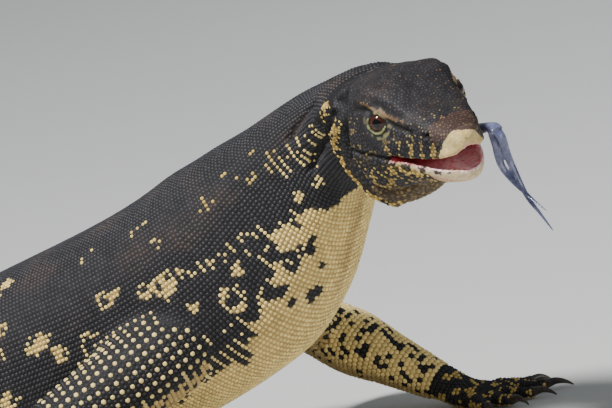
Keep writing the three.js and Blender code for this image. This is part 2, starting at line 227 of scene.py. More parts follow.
def lower_jaw(x, angle, r):
    s, c = np.sin(angle), np.cos(angle)
    wide = head_wide(np.minimum(x + 1.5, head_length)) - 0.8
    lip = head_jaw(x) + 1.2 * (1 - ease(x, 54, 64))
    gums = 1.6 * bump(c, 0, 0.2) + 1.3 * bump(np.abs(c), 0.8, 0.09)
    trough = (gums - 6 * s) * bump(x, 78, 24) * ease(s, 0, 0.3)
    under = (head_throat(x) - lip) * np.abs(s) ** 0.85
    return in_head(x, wide * bent_power(c, 0.82) * r, lip + np.where(s > 0, trough, under) * r)


def head_base(x, angle, r):
    s = np.sin(angle)
    reach = np.where(s > 0, head_top(x) - 1.5, -head_throat(x))
    across = (head_wide(x) - np.where(s > 0, 1.5, 0)) * bent_power(np.cos(angle), 0.87)
    return in_head(x, across * r, bent_power(s, 0.87) * reach * r)


# The four legs: shoulder or hip, elbow or knee, wrist or ankle, then the foot's heading in radians, the
# girths, and the foot's sizes: palm, toes, half width and spread. Five toes each, all with hooked claws.
hip = spine_point(hip_station)
hand = (26, 34, 12.5, 0.34)
foot = (40, 44, 13.5, 0.3)
hind_girths = (27, 19, 16, 11)
legs = {
    "fore_left": ((-2, 30, 86), (-4, 92, 52), (60, 90, 14), -0.04, (23, 19, 17, 11.5), hand),
    "fore_right": ((-2, -30, 86), (-72, -88, 49), (0, -124, 14), -0.35, (24, 21, 17.5, 11.5), hand),
    "hind_left": (hip + (0, 24, -2), hip + (22, 104, 4), (hip[0] - 30, hip[1] + 132, 13), 0.5,
                  hind_girths, foot),
    "hind_right": (hip + (0, -24, -2), hip + (58, -92, 6), (hip[0] + 18, hip[1] - 134, 13), -0.4,
                   hind_girths, foot),
}
# The toes, the inner one first: how far each is turned, and its length as a share of the longest
toe_plan = ((-1.9, 0.62), (-0.9, 0.86), (0, 1.0), (0.9, 1.06), (2.1, 0.78))


class Limb:
    """A tube of flesh along a smooth line, with half width and half height given along it."""

    def __init__(self, points, halves, hint=(0.2, 0, 1)):
        points = np.array(points, float)
        ends = np.vstack([2 * points[0] - points[1], points, 2 * points[-1] - points[-2]])
        line = []
        for i in range(len(points) - 1):
            a, b, c, d = ends[i:i + 4]
            t = np.linspace(0, 1, 24, endpoint=i == len(points) - 2)[:, None]
            square_part = (2 * a - 5 * b + 4 * c - d) * t**2
            cube_part = (3 * b - a - 3 * c + d) * t**3
            line.append(0.5 * (2 * b + (c - a) * t + square_part + cube_part))
        self.line = np.vstack(line)
        gone = np.concatenate([[0], np.cumsum(np.linalg.norm(np.diff(self.line, axis=0), axis=1))])
        self.length = gone[-1]
        self.share = gone / self.length
        self.forward = unit(np.gradient(self.line, axis=0))
        self.left = unit(np.cross(np.array(hint, float), self.forward))
        self.up = np.cross(self.forward, self.left)
        self.halves = halves

    def along(self, table, t):
        return np.stack([np.interp(t, self.share, table[:, k]) for k in range(3)], -1)

    def surface(self, t, angle, r=1.0):
        wide, high = self.halves(t)
        across = np.cos(angle) * wide * r
        height = np.sin(angle) * high * r
        place = self.along(self.line, t) + self.along(self.left, t) * across[:, None]
        return place + self.along(self.up, t) * height[:, None]


def leg_limb(root, elbow, wrist, girths):
    root, elbow, wrist = (np.array(p, float) for p in (root, elbow, wrist))
    shoulder, upper, lower, ankle = girths
    girth = smooth_curve(
        np.array([0, 0.14, 0.3, 0.47, 0.62, 0.82, 1.0]),
        np.array([shoulder * 0.7, shoulder, upper * 1.05, upper * 0.86, lower + 0.5, ankle + 2, ankle * 0.9]))
    line = [root, (root + elbow) / 2, elbow, (elbow + wrist) / 2, wrist]
    return Limb(line, lambda t: (girth(t), girth(t) * 0.95))


def foot_limbs(name):
    _, _, wrist, aim, girths, (palm, toes, wide, spread) = legs[name]
    side = 1 if name.endswith("left") else -1
    wrist = np.array(wrist, float)

    def ahead(yaw, distance, height):
        return np.array([wrist[0] + math.cos(yaw) * distance, wrist[1] + math.sin(yaw) * distance, height])

    def palm_girth(t):
        return girths[3] + (wide - girths[3]) * t - 2.5 * (t > 0.93), 8.8 - 3 * t

    palm_line = [wrist + (0, 0, 1), ahead(aim, palm * 0.5, 7), ahead(aim, palm, 5.2)]
    palm_limb = Limb(palm_line, palm_girth, (0, 0, 1))
    toe_limbs, claws = [], []
    for turn, length in toe_plan:
        yaw = aim + side * turn * spread
        sideways = np.array([-math.sin(aim), math.cos(aim), 0])
        start = ahead(aim, palm * 0.72, 5) + sideways * side * turn * wide * 0.36
        reach = np.array([math.cos(yaw), math.sin(yaw), 0]) * toes * length

        def toe_girth(t):
            knuckle = 1 + 0.1 * np.cos(t * 6 * np.pi)
            return (4.3 - 1.3 * t) * knuckle, (4.2 - 1.3 * t) * knuckle

        toe_limbs.append(Limb([start, start + reach * 0.35 + (0, 0, 0.6), start + reach * 0.7 - (0, 0, 1.2),
                               start + reach * 1.0 - (0, 0, 1.6)], toe_girth, (0, 0, 1)))
        claws.append([start * (1, 1, 0) + reach * share + (0, 0, height)
                      for share, height in ((0.93, 3.4), (1.12, 4.4), (1.27, 3.0), (1.36, 0.9))])
    return palm_limb, toe_limbs, claws


limbs = {name: leg_limb(*legs[name][:3], legs[name][4]) for name in legs}
feet = {name: foot_limbs(name) for name in legs}


# The hide: one skin over neck, trunk, tail and legs, and a finer one over the head and the top of the neck.
# Each form is a closed tube, and remeshing together joins them without a seam. The joints are then smoothed.
hide_cell = 0.0019
face_cell = 0.00078
face_cell_after = 0.0008


def bent_grid(rows, sides, place):
    bm = bmesh.new()
    bmesh.ops.create_grid(bm, x_segments=sides, y_segments=rows + 2, size=0.5)
    across = np.array([v.co.x for v in bm.verts]) + 0.5
    down = (np.array([v.co.y for v in bm.verts]) + 0.5) * (rows + 2)
    r = np.where((down < 0.5) | (down > rows + 1.5), 0.0, 1.0)
    points = placed(place(np.clip((down - 1) / rows, 0, 1), across * 2 * np.pi, r))
    for vertex, point in zip(bm.verts, points):
        vertex.co = point
    bmesh.ops.remove_doubles(bm, verts=bm.verts, dist=1e-6)
    bmesh.ops.recalc_face_normals(bm, faces=bm.faces)
    return bm


def joined(name, forms):
    mesh = bpy.data.meshes.new(name)
    whole = bmesh.new()
    for form in forms:
        form.to_mesh(mesh)
        form.free()
        whole.from_mesh(mesh)
        mesh.clear_geometry()
    whole.to_mesh(mesh)
    whole.free()
    thing = bpy.data.objects.new(name, mesh)
    bpy.context.scene.collection.objects.link(thing)
    return thing


def remeshed(thing, size):
    modifier = thing.modifiers.new("skin", "REMESH")
    modifier.mode = "VOXEL"
    modifier.voxel_size = size
    done = bpy.data.meshes.new_from_object(thing.evaluated_get(bpy.context.evaluated_depsgraph_get()))
    thing.modifiers.clear()
    old = thing.data
    thing.data = done
    bpy.data.meshes.remove(old)
    done.name = thing.name


def corners(mesh):
    co = np.empty(len(mesh.vertices) * 3, np.float32)
    mesh.vertices.foreach_get("co", co)
    return co.reshape(-1, 3).astype(float)


def set_corners(mesh, points):
    mesh.vertices.foreach_set("co", points.astype(np.float32).ravel())
    mesh.update()


def corner_normals(mesh):
    normal = np.empty(len(mesh.vertices) * 3, np.float32)
    mesh.vertex_normals.foreach_get("vector", normal)
    return normal.reshape(-1, 3).astype(float)


def relaxed(mesh, weight, rounds):
    edges = np.empty(len(mesh.edges) * 2, np.int64)
    mesh.edges.foreach_get("vertices", edges)
    a, b = edges[0::2], edges[1::2]
    points = corners(mesh)
    count = np.bincount(edges, minlength=len(points))[:, None]
    for _ in range(rounds):
        total = np.stack([
            np.bincount(a, points[b, k], len(points)) + np.bincount(b, points[a, k], len(points))
            for k in range(3)], -1)
        points += (total / count - points) * 0.5 * weight[:, None]
    set_corners(mesh, points)


hide_length = neck_end - 6 - tail_end
hide_forms = [bent_grid(330, 72, lambda t, angle, r: body_surface(tail_end + hide_length * t, angle, r))]
for name in legs:
    limb = limbs[name]
    palm, toes, _ = feet[name]
    hide_forms.append(bent_grid(40, 28, limb.surface))
    hide_forms.append(bent_grid(12, 20, palm.surface))
    hide_forms += [bent_grid(18, 12, toe.surface) for toe in toes]
hide = joined("hide", hide_forms)
remeshed(hide, hide_cell)

joint_weight = np.zeros(len(hide.data.vertices))
hide_points = corners(hide.data)
for root, elbow, wrist, *_ in legs.values():
    root, elbow, wrist = (placed(np.array(p, float)) for p in (root, elbow, wrist))
    out = unit((elbow - root)[None])[0]
    joints = ((root + out * 0.026, 1.0, 0.034), (elbow, 0.7, 0.018), (wrist, 0.5, 0.014))
    for joint, strength, reach in joints:
        joint_weight += strength * bump(np.linalg.norm(hide_points - joint, axis=1), 0, reach)
relaxed(hide.data, np.clip(joint_weight, 0.0, 1.0), 36)
relaxed(hide.data, np.full(len(hide_points), 0.6), 2)

jaw_start = jaw_joint - 4
jaw_length = jaw_tip - jaw_joint + 4
nape = 96
head_forms = [
    bent_grid(84, 112, lambda t, angle, r: upper_head(head_length * (1 - (1 - t) ** 1.35), angle, r)),
    bent_grid(78, 96, lambda t, angle, r: lower_jaw(jaw_start + jaw_length * (1 - (1 - t) ** 1.3), angle, r)),
    bent_grid(16, 96, lambda t, angle, r: head_base(-4 + (jaw_joint + 5) * t, angle, r)),
    bent_grid(30, 96, lambda t, angle, r: body_surface(nape + (neck_end - nape) * t, angle, r)),
]
face = joined("face", head_forms)
remeshed(face, face_cell)

# Folds of loose skin. Each runs through a few points of the head's frame, with its depth, outwards where
# positive, and its half width. The head is turned to its right, so the skin behind that cheek is pressed
# into folds. The folds of mouth, cheek, brow, snout and lip are the same on both sides.
folds = [
    (((13, -19, 18), (24, -25, 15), (28, -30, 6), (25, -29, -6), (24, -28, -15)), -4.2, 2.4),
    (((24, -28, -15), (30, -26, -27), (40, -20, -35), (52, -13, -37)), -3.0, 2.6),
    (((21, -30, 4), (14, -30, -3), (9, -31, -10), (6, -31, -20), (6, -27, -34), (16, -23, -41),
      (30, -15, -45)), 2.4, 3.0),
    (((11, -20, 19), (16, -27, 11), (9, -30, 3), (-2, -30, -7), (-14, -30, -18), (-25, -29, -28)), -3.6, 2.6),
    (((4, -29, 10), (-8, -30, -1), (-20, -30, -12), (-30, -30, -22)), 1.8, 3.0),
    (((-16, -27, 8), (-26, -30, -4), (-36, -32, -18)), -2.4, 2.6),
    (((20, 26, 14), (17, 31, 4), (18, 30, -10), (24, 27, -20)), -2.4, 2.6),
    (((-2, 26, 8), (-4, 30, -8), (0, 29, -24)), -1.6, 2.6),
]
ridge_folds = (2, 4)
for path, depth, width in (
    (((24, 30, -8.6), (40, 29, -8.4), (54, 26, -8.8), (63, 23, -9.6)), -1.5, 0.8),
    (((24, 30, -12), (40, 29, -12), (56, 25, -12.6)), 1.2, 1.8),
    (((36, 29, -3), (48, 27, -2), (58, 24, -3)), 1.0, 4.0),
    (((36, 26.5, 18.5), (45.5, 23.6, 18.5), (55.8, 21.4, 14.4), (65.8, 18, 10.6), (73, 16, 8.6)), 1.4, 1.5),
    (((38, 28, 14), (46, 26, 14.8), (56, 24.2, 11), (66, 20, 7.4), (76, 17, 5.6)), -1.7, 1.2),
    (((61, 22, 3), (72, 18.5, 2), (80, 16, 1)), -0.9, 3.0),
    (((66, 21, -7.5), (80, 16.5, -7), (92, 13.5, -6), (100, 9, -5)), 0.8, 1.8),
):
    for side in (-1, 1):
        folds.append((tuple((x, side * y, z) for x, y, z in path), depth, width))


def path_distance(points, path):
    best = np.full(len(points), 1e9)
    for a, b in zip(path[:-1], path[1:]):
        line = b - a
        t = np.clip(((points - a) @ line) / max(line @ line, 1e-9), 0, 1)
        best = np.minimum(best, np.linalg.norm(points - a - t[:, None] * line, axis=1))
    return best


def smooth_path(path):
    path = np.array(path, float)
    t = np.arange(len(path))
    fine = np.linspace(0, len(path) - 1, 6 * len(path))
    return np.stack([smooth_curve(t, path[:, k])(fine) for k in range(3)], -1) if len(path) > 2 else path


def laid_on(path, skin):
    """The path as a smooth line, drawn onto the skin where it is near."""
    line = smooth_path(path)
    for i, place in enumerate(line):
        away = ((skin - place) ** 2).sum(1)
        if away.min() < 49:
            line[i] = skin[away.argmin()]
    return line


def folded(mesh):
    points = corners(mesh)
    normals = corner_normals(mesh)
    local = head_place((points - shift) * 1000)
    near = (local[:, 0] > -40) & (np.abs(local[:, 1]) < 60)
    push = np.zeros(len(points))
    for line, (_, depth, width) in zip(fold_lines, folds):
        push[near] += depth * bump(path_distance(local[near], line), 0, width)
    set_corners(mesh, points + normals * np.clip(push, -6, 4)[:, None] * 0.001)


# The eyes: balls set in the sides of the head under the brow, glossy, with a dark red-brown iris and a round
# black pupil. Iris and pupil are painted by the angle from the eye's own axis.
class Tone:
    """One output of a material's node, which takes part in sums as a number does."""

    def __init__(self, tree, socket_shade=None):
        self.tree, self.socket_shade = tree, socket_shade

    def make(self, kind, settings=None, inputs=None, output=0):
        node = self.tree.nodes.new(kind)
        for key, value in (settings or {}).items():
            if key == "stops":
                while len(node.color_ramp.elements) < len(value):
                    node.color_ramp.elements.new(0.5)
                for element, (place, colour) in zip(node.color_ramp.elements, value):
                    element.position = place
                    element.color = (*colour, 1)
            else:
                setattr(node, key, value)
        for key, value in (inputs or {}).items():
            if isinstance(value, Tone):
                self.tree.links.new(value.socket_shade, node.inputs[key])
            else:
                node.inputs[key].default_value = value
        return Tone(self.tree, node.outputs[output])

    def sum(self, operation, first, second):
        return self.make("ShaderNodeMath", {"operation": operation}, {0: first, 1: second})

    def __add__(self, other):
        return self.sum("ADD", self, other)

    def __mul__(self, other):
        return self.sum("MULTIPLY", self, other)

    __radd__ = __add__
    __rmul__ = __mul__


def finish_of(name, paint, roughness, **fixed):
    """A material: paint(tone) gives the sockets that vary, and fixed holds the shader's constant settings."""
    material = bpy.data.materials.new(name)
    material.use_nodes = True
    shader = material.node_tree.nodes["Principled BSDF"]
    shader.inputs["Roughness"].default_value = roughness
    for key, value in fixed.items():
        shader.inputs[key.replace("_", " ")].default_value = value
    for key, tone in paint(Tone(material.node_tree)).items():
        material.node_tree.links.new(tone.socket_shade, shader.inputs[key])
    return material


def marked(tone):
    return tone.make("ShaderNodeVertexColor", {"layer_name": "marks"})


def painted_corners(mesh, colours):
    layer = mesh.color_attributes.new(name="marks", type="FLOAT_COLOR", domain="POINT")
    rgba = np.ones((len(colours), 4), np.float32)
    rgba[:, :3] = colours
    layer.data.foreach_set("color", rgba.ravel())


def grain_of(tone, scale, detail=2.0):
    where = tone.make("ShaderNodeTexCoord", output=3)
    return tone.make("ShaderNodeTexNoise", None, {"Vector": where, "Scale": scale, "Detail": detail})


def shaded(tone, value):
    """The painted colours, made lighter or darker by a value."""
    grey = tone.make("ShaderNodeCombineColor", None, {0: value, 1: value, 2: value})
    settings = {"data_type": "RGBA", "blend_type": "MULTIPLY"}
    return tone.make("ShaderNodeMix", settings, {0: 1.0, 6: marked(tone), 7: grey}, 2)


def relief_of(tone, height, strength, distance):
    return tone.make("ShaderNodeBump", None, {"Strength": strength, "Distance": distance, "Height": height})


def eye_paint(tone):
    return {"Base Color": shaded(tone, 0.75 + 0.5 * grain_of(tone, 900.0))}


eye_finish = finish_of("wet eye", eye_paint, 0.12, Coat_Weight=0.35, Coat_Roughness=0.03,
                       Specular_IOR_Level=0.25)
pupil_turn, ring_turn, iris_turn = 22, 26, 40
for side in (1, -1):
    ball = bmesh.new()
    bmesh.ops.create_uvsphere(ball, u_segments=48, v_segments=32, radius=eye_radius * 0.001)
    eye_mesh = bpy.data.meshes.new(f"eyeball_{'left' if side > 0 else 'right'}")
    ball.to_mesh(eye_mesh)
    ball.free()
    points = corners(eye_mesh) * 1000
    axis = eye_facing * (1, side, 1)
    turn = np.degrees(np.arccos(np.clip(unit(points) @ axis, -1, 1)))
    iris = np.array([0.040, 0.008, 0.005])
    ring = np.array([0.075, 0.022, 0.01])
    colours = np.where((turn < pupil_turn)[:, None], (0.002, 0.002, 0.002), iris)
    colours = np.where(((turn >= pupil_turn) & (turn < ring_turn))[:, None], ring, colours)
    colours = np.where((turn > iris_turn)[:, None], (0.012, 0.008, 0.007), colours)
    painted_corners(eye_mesh, colours)
    bulge = 1 + 0.045 * bump(turn, 0, 26)
    x, y, z = (points * bulge[:, None]).T
    set_corners(eye_mesh, placed(in_head(eye_x + x, side * eye_y + y, eye_z + z)))
    eye_mesh.shade_smooth()
    eyeball = bpy.data.objects.new(eye_mesh.name, eye_mesh)
    bpy.context.scene.collection.objects.link(eyeball)
    eye_mesh.materials.append(eye_finish)
    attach(eyeball, "root")
    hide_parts("eye_left" if side > 0 else "eye_right")


# Lids, nostrils and ears are pressed into the face. The skin round each eye is drawn onto the ball: an
# almond opening, a raised rim, and rings of fine folds under it. Nostrils are oval pits, ears shallow cups.
nostril = np.array([86.0, 14.0, 4.2])
ear = np.array([12.0, 29.0, 3.0])
nostril_stretch = np.array([1.6, 1, 0.8])
ear_stretch = np.array([0.85, 1, 1.4])


def eye_view(local, side):
    """Distance from the ball, way, how far round it, 1 at the rim of the lids, and how far above."""
    away = local - (eye_x, side * eye_y, eye_z)
    axis = eye_facing * (1, side, 1)
    above = unit((np.array([0, 0, 1.0]) - axis * axis[2])[None])[0]
    across = np.cross(above, axis) * side
    distance = np.linalg.norm(away, axis=1)
    way = unit(away)
    turn = np.degrees(np.arccos(np.clip(way @ axis, -1, 1)))
    lift, out = way @ above, way @ across
    off_axis = np.maximum(np.hypot(lift, out), 1e-6)
    height, backward = lift / off_axis, out / off_axis
    opening = 39 + 6 * backward - 3 * np.maximum(height, 0)
    return distance, way, turn / opening, height


def clouds(points, size, seed=0.0):
    offset = Vector((seed, seed * 1.7, -seed))
    return np.array([noise.noise(Vector(p / size) + offset) for p in points])


def shaped_face(mesh):
    points = corners(mesh)
    local = head_place((points - shift) * 1000)
    for side in (1, -1):
        distance, way, spread, height = eye_view(local, side)
        near = (distance < 20) & (spread < 2.4)
        spread, height, skin = spread[near], height[near], distance[near]
        lid = eye_radius + 0.3 + 1.2 * bump(spread, 1.15, 0.13) + 0.8 * ease(spread, 1.2, 1.8)
        lid = np.where(spread < 1.0, eye_radius - 1.4, lid)
        mix = (1 - ease(spread, 1.25, 2.0)) * (1 - ease(skin, 12, 17))
        rings = 0.55 * np.cos((spread - 1.15) * 14) * ease(spread, 1.25, 1.4) * (1 - ease(spread, 1.95, 2.3))
        rings *= np.where(height < 0, 1.0, 0.5)
        out_by = skin * (1 - mix) + lid * mix + rings
        local[near] = (eye_x, side * eye_y, eye_z) + way[near] * out_by[:, None]
        pits = ((nostril, 1.9, 3.0, nostril_stretch), (ear, 4.0, 2.6, ear_stretch))
        for pit, radius, depth, stretch in pits:
            gap = np.linalg.norm((local - pit * (1, side, 1)) / stretch, axis=1)
            inward = np.array([0, -side, 0.0])
            local += inward * (depth * (1 - ease(gap, radius * 0.35, radius)))[:, None]
            local -= inward * (0.5 * bump(gap, radius * 1.25, radius * 0.3))[:, None]
    crown = ease(local[:, 2], 4, 10)
    local[:, 2] += crown * (0.55 * clouds(local, 8.0) + 0.3 * clouds(local, 3.6, 4.0))
    set_corners(mesh, placed(in_head(local[:, 0], local[:, 1], local[:, 2])))


shaped_face(face.data)
skin_lines = head_place((corners(face.data) - shift) * 1000)
fold_lines = [laid_on(path, skin_lines) for path, _, _ in folds]
folded(hide.data)
folded(face.data)
remeshed(face, face_cell_after)

# The ground of the scales: every scale's place, which way it lies, its size and its markings. Rows of
# scales go round the body and the legs, and small irregular ones cover the head.
dark = np.array([0.012, 0.012, 0.0155])
slate = np.array([0.034, 0.032, 0.037])
umber = np.array([0.062, 0.043, 0.036])
cream = np.array([0.93, 0.72, 0.28])
straw = np.array([0.62, 0.44, 0.12])
tan = np.array([0.36, 0.225, 0.085])
tail_scale_start = -430
rng = np.random.default_rng(7)


# Marks seen on the animal's right side: station, degrees round from the back's midline, radius in
# millimetres, stretch along the body, and its kind, a ring of pale scales, a cluster or short rows.
right_marks = [
    (-42, 79, 4.6, 1.1, "ring"), (-34, 78, 2.6, 1, "cluster"), (-19, 86, 3.6, 1.1, "ring"),
    (-11, 88, 3.8, 1, "ring"), (-4, 88, 3.8, 1.2, "ring"), (-9, 93, 3, 1, "cluster"),
    (3, 90, 2.2, 1, "cluster"), (9, 92, 1.9, 1, "cluster"), (-3, 102, 3.3, 1, "cluster"),
    (15, 93, 2.2, 1, "cluster"), (20, 94, 2.1, 1, "cluster"), (27, 96, 2.2, 1, "cluster"),
    (34, 96, 2.1, 1, "cluster"), (41, 97, 2.2, 1, "cluster"), (47, 101, 2.5, 1, "cluster"),
    (52, 103, 2.2, 1, "cluster"), (31, 102, 1.9, 1, "cluster"), (38, 105, 2.2, 1, "cluster"),
    (27, 105, 3.3, 1, "cluster"), (15, 112, 6, 1, "ring"), (-89, 82, 5, 1.9, "cluster"),
    (-80, 91, 4, 1, "cluster"), (-62, 93, 4.6, 1, "ring"), (-52, 97, 3, 1, "cluster"),
    (-39, 101, 2.6, 2.2, "cluster"), (-3, 48, 2.4, 1, "cluster"), (-12, 49, 2.6, 1.3, "rows"),
    (0, 67, 3.2, 1, "ring"), (-45, 40, 2.4, 1, "cluster"), (-51, 46, 2.6, 1.2, "rows"),
    (-104, 29, 5, 1, "cluster"), (-106, 40, 3, 1, "cluster"), (-107, 63, 5, 1, "cluster"),
    (-112, 78, 4, 1.2, "rows"), (38, 69, 5.4, 0.9, "rows"), (68, 81, 3.2, 1, "ring"),
    (76, 63, 1.8, 1.2, "cluster"), (84, 84, 4.2, 1.2, "rows"), (87, 92, 4.6, 0.8, "rows"),
    (98, 95, 4.6, 0.7, "rows"), (104, 107, 4.6, 0.8, "rows"), (108, 96, 4.6, 0.8, "rows"),
    (110, 71, 1.6, 1, "cluster"), (62, 72, 1.6, 1, "cluster"), (56, 60, 1.6, 1, "cluster"),
    (80, 114, 3.4, 1.3, "cluster"), (92, 122, 3, 1, "cluster"), (98, 125, 2.8, 1, "cluster"),
    (117, 100, 4, 0.8, "rows"), (128, 98, 4.4, 0.8, "rows"), (70, 118, 3, 1, "cluster"),
]
for row_at in np.arange(-134, -470, -36):
    for k, turn_round in enumerate((16, 44, 72, 100)):
        at = row_at + (13 if k % 2 else 0) + rng.uniform(-5, 5)
        right_marks.append((at, turn_round + rng.uniform(-5, 5), rng.uniform(3.6, 5.4), rng.uniform(0.9, 1.5),
                            ("ring", "cluster", "ring", "rows")[int(rng.integers(4))]))
throat_blotches = [
    (48, 128, 4.6, 1.0), (45, 116, 3.6, 1.2), (50, 112, 3.0, 1.4), (60, 138, 2.6, 2.4), (56, 133, 2.4, 1.0),
    (32, 130, 2.4, 2.6), (36, 152, 3.0, 1.2), (40, 156, 2.4, 1.0), (34, 119, 3.6, 1.4), (28, 126, 3.0, 1.5),
    (66, 122, 1.6, 1.0), (30, 140, 1.5, 1.0), (52, 150, 1.4, 1.0), (24, 117, 2.6, 1.6),
]
pale_edge = smooth_curve(
    np.array([-1400, -440, -300, -120, -60, -20, 10, 20, 36, 45, 57, 68, 76, 83, 92, 110, 148.0]),
    np.array([150, 146, 140, 138, 136, 133, 129, 122, 115, 111, 109, 115, 124, 143, 158, 170, 178.0]))


def patches(at, turn_round, marks, row):
    """Share of pale in each scale, from the list of marks."""
    found = np.zeros(len(at))
    girth = (body_wide(at) + 0.5 * (body_top(at) + body_bottom(at))) / 2
    for place, middle, radius, stretch, kind in marks:
        near = (np.abs(at - place) < radius * stretch * 1.6) & (np.abs(turn_round - middle) < 30)
        if not near.any():
            continue
        dx = (at[near] - place) / stretch
        dy = np.radians(turn_round[near] - middle) * girth[near]
        away = np.hypot(dx, dy) / radius + rng.uniform(-0.16, 0.16, near.sum())
        if kind == "ring":
            hit = (away > 0.5) & (away < 1.12)
        elif kind == "rows":
            hit = (away < 1.1) & (row[near] % 2 == 0)
        else:
            hit = (away < 1.0) & (rng.random(near.sum()) > 0.2)
        found[near] = np.maximum(found[near], hit)
    return found


def shoulder_distance(points):
    """Distance from the top of either upper arm, in millimetres."""
    best = np.full(len(points), 1e9)
    for name in ("fore_left", "fore_right"):
        root, elbow = (np.array(p, float) for p in legs[name][:2])
        upper_arm = np.array([root + (elbow - root) * 0.35, root + (elbow - root) * 0.75])
        best = np.minimum(best, path_distance(points, upper_arm))
    return best


def body_tint(points, at, angle, row, column):
    """Colours of the scales of neck, trunk and tail, and how pale each is."""
    turn_round = np.abs((np.degrees(angle) - 90 + 180) % 360 - 180)
    right = np.cos(angle) < 0
    rough = clouds(points, 9.0)
    broad = clouds(points, 26.0, 3.0)
    count = len(at)
    colour = dark + (slate - dark) * rng.uniform(0, 0.7, (count, 1))
    haze = np.clip(broad * 2.2, 0, 1) * (turn_round < 85)
    colour += (umber - colour) * (haze * rng.uniform(0.1, 0.75, count))[:, None]
    pale = patches(at, turn_round, right_marks, row) * right
    left_marks = [(a - 9, t + 4, r, s, k) for a, t, r, s, k in right_marks]
    pale = np.maximum(pale, patches(at, turn_round, left_marks, row) * ~right)
    edge = pale_edge(at) + 7 * rough + rng.uniform(-3, 3, count)
    throat = turn_round > edge
    blotches = [(a, t, r, s, "cluster") for a, t, r, s in throat_blotches]
    dark_spot = patches(at, turn_round, blotches, row) * right
    left_blotches = [(a + 7, t + 3, r, s, k) for a, t, r, s, k in blotches]
    dark_spot = np.maximum(dark_spot, patches(at, turn_round, left_blotches, row) * ~right)
    bars = (np.sin(at / 25 * 2 * np.pi + 2 * rough) > 0.45) & (turn_round < edge + 22) & (at < -60)
    fading = (at > -75) & (at < 12) & (turn_round > 90)
    chance = rng.random(count)
    throat = throat | (fading & (row % 2 == 0) & (chance < 0.8 * ease(turn_round - edge, -20, 2)))
    throat &= ~(fading & (row % 2 == 1) & (chance > 0.1 + ease(turn_round - edge, -2, 14)))
    pale = np.maximum(pale, throat * (1 - dark_spot) * ~bars)
    band = np.sin(at / (50 + (at + 440) * 0.012) * 2 * np.pi) + 0.8 * rough > 0.72
    tail_pale = (band & (turn_round > 12) & (rng.random(count) > 0.15)) | (turn_round > 158)
    on_tail = at < tail_scale_start
    pale = np.where(on_tail, tail_pale, pale)
    reach = shoulder_distance(points)
    beads = (row % 2 == 0) & (column % 2 == 0)
    near_arm = reach < 27 + 8 * rough
    low = near_arm & (turn_round > 100) & (row % 2 == 0) & (rng.random(count) < ease(turn_round, 96, 126))
    pale = np.where(near_arm, np.maximum(beads | low | (turn_round > 132), pale * (turn_round > 112)), pale)
    cream_share = np.clip(ease(turn_round, 78, 100) + ease(-at, -30, 20) * 0.6, 0, 1)[:, None]
    light = straw + (cream - straw) * cream_share * rng.uniform(0.8, 1.0, (count, 1))
    # Painted shade: on the right of the throat's underside the pale scales darken to tan. On the tail the
    # pale bands are tan as their own colour.
    under = ease(turn_round, 166, 176) * ease(at, 30, 60) * right
    light = light + (tan - light) * np.maximum(under * 0.5, on_tail * 0.6)[:, None]
    light *= rng.uniform(0.74, 1.1, (count, 1))
    return colour + (light - colour) * pale[:, None], pale


# Rows of scales round neck, trunk and tail, side by side on the trunk and staggered on the tail. The
# tables give the length and width of a scale by station, in millimetres.
scale_stations = (-1400, -1000, -600, -430, -380, -200, -60, 30, 148)
scale_lengths = (2.0, 2.6, 3.3, 3.1, 2.7, 2.5, 2.3, 2.35, 2.3)
scale_widths = (1.7, 2.3, 2.8, 2.8, 2.6, 2.45, 2.3, 2.35, 2.0)
coats = {}


def add_scales(coat, points, lie, size, colour, chart, spacing):
    """Keeps scales for one coat: places and lie in the part's frame, sizes and spacing in millimetres."""
    coats.setdefault(coat, []).append((points, lie, size, colour, chart, spacing))


def row_stations():
    at, row, around = neck_end - 3.0, 0, 0
    while at > tail_end + 4:
        girth = float(body_wide(at)) + 0.5 * float(body_top(at) + body_bottom(at))
        long = float(np.interp(at, scale_stations, scale_lengths))
        wide = float(np.interp(at, scale_stations, scale_widths))
        wanted = max(8, 2 * round(math.pi * girth / wide / 2))
        if abs(wanted - around) > 0.05 * wanted:
            around = wanted
        yield row, at, around, long, math.pi * girth / around
        at -= long
        row += 1


body_rows = []
fine_angles = np.linspace(0, 2 * np.pi, 361)
for row, at, around, long, wide in row_stations():
    ring = body_surface(np.full(361, at), fine_angles)
    gone = np.concatenate([[0], np.cumsum(np.linalg.norm(np.diff(ring, axis=0), axis=1))])
    top = np.interp(np.pi / 2, fine_angles, gone)
    on_tail = at < tail_scale_start
    share = (np.arange(around) + (0.5 if on_tail and row % 2 else 0)) / around
    angle = np.interp((share * gone[-1] + top) % gone[-1], gone, fine_angles)
    values = (at, angle, row, long, wide, share, np.arange(around))
    body_rows.append([np.broadcast_to(v, around) for v in values])
row_at, row_angle, row_number, row_long, row_wide, row_share, row_column = (
    np.concatenate(v) for v in zip(*body_rows))
row_at = row_at + rng.normal(0, 0.09, len(row_at))
body_points = body_surface(row_at, row_angle)
body_colour, body_pale = body_tint(body_points, row_at, row_angle, row_number, row_column)
coat_lengths = (
    ("neck_scales", 20, 160), ("shoulder_scales", -60, 20), ("chest_scales", -140, -60),
    ("flank_scales", -230, -140), ("belly_scales", -330, -230), ("hip_scales", -440, -330),
    ("tail_scales", -1400, -440),
)
scale_half = 0.47
for coat, low, high in coat_lengths:
    mine = (row_at > low) & (row_at <= high)
    at, long, wide = row_at[mine], row_long[mine], row_wide[mine]
    size = np.stack([wide * scale_half, long * scale_half, 0.62 + 0.22 * body_pale[mine]], -1)
    size *= rng.uniform(0.92, 1.05, (mine.sum(), 1))
    chart = np.stack([0.01 + 0.98 * (at - low) / (high - low), 0.01 + 0.98 * row_share[mine]], -1)
    lie = -at_spine(spine_forward, at)
    add_scales(coat, body_points[mine], lie, size, body_colour[mine], chart, np.minimum(wide, long))


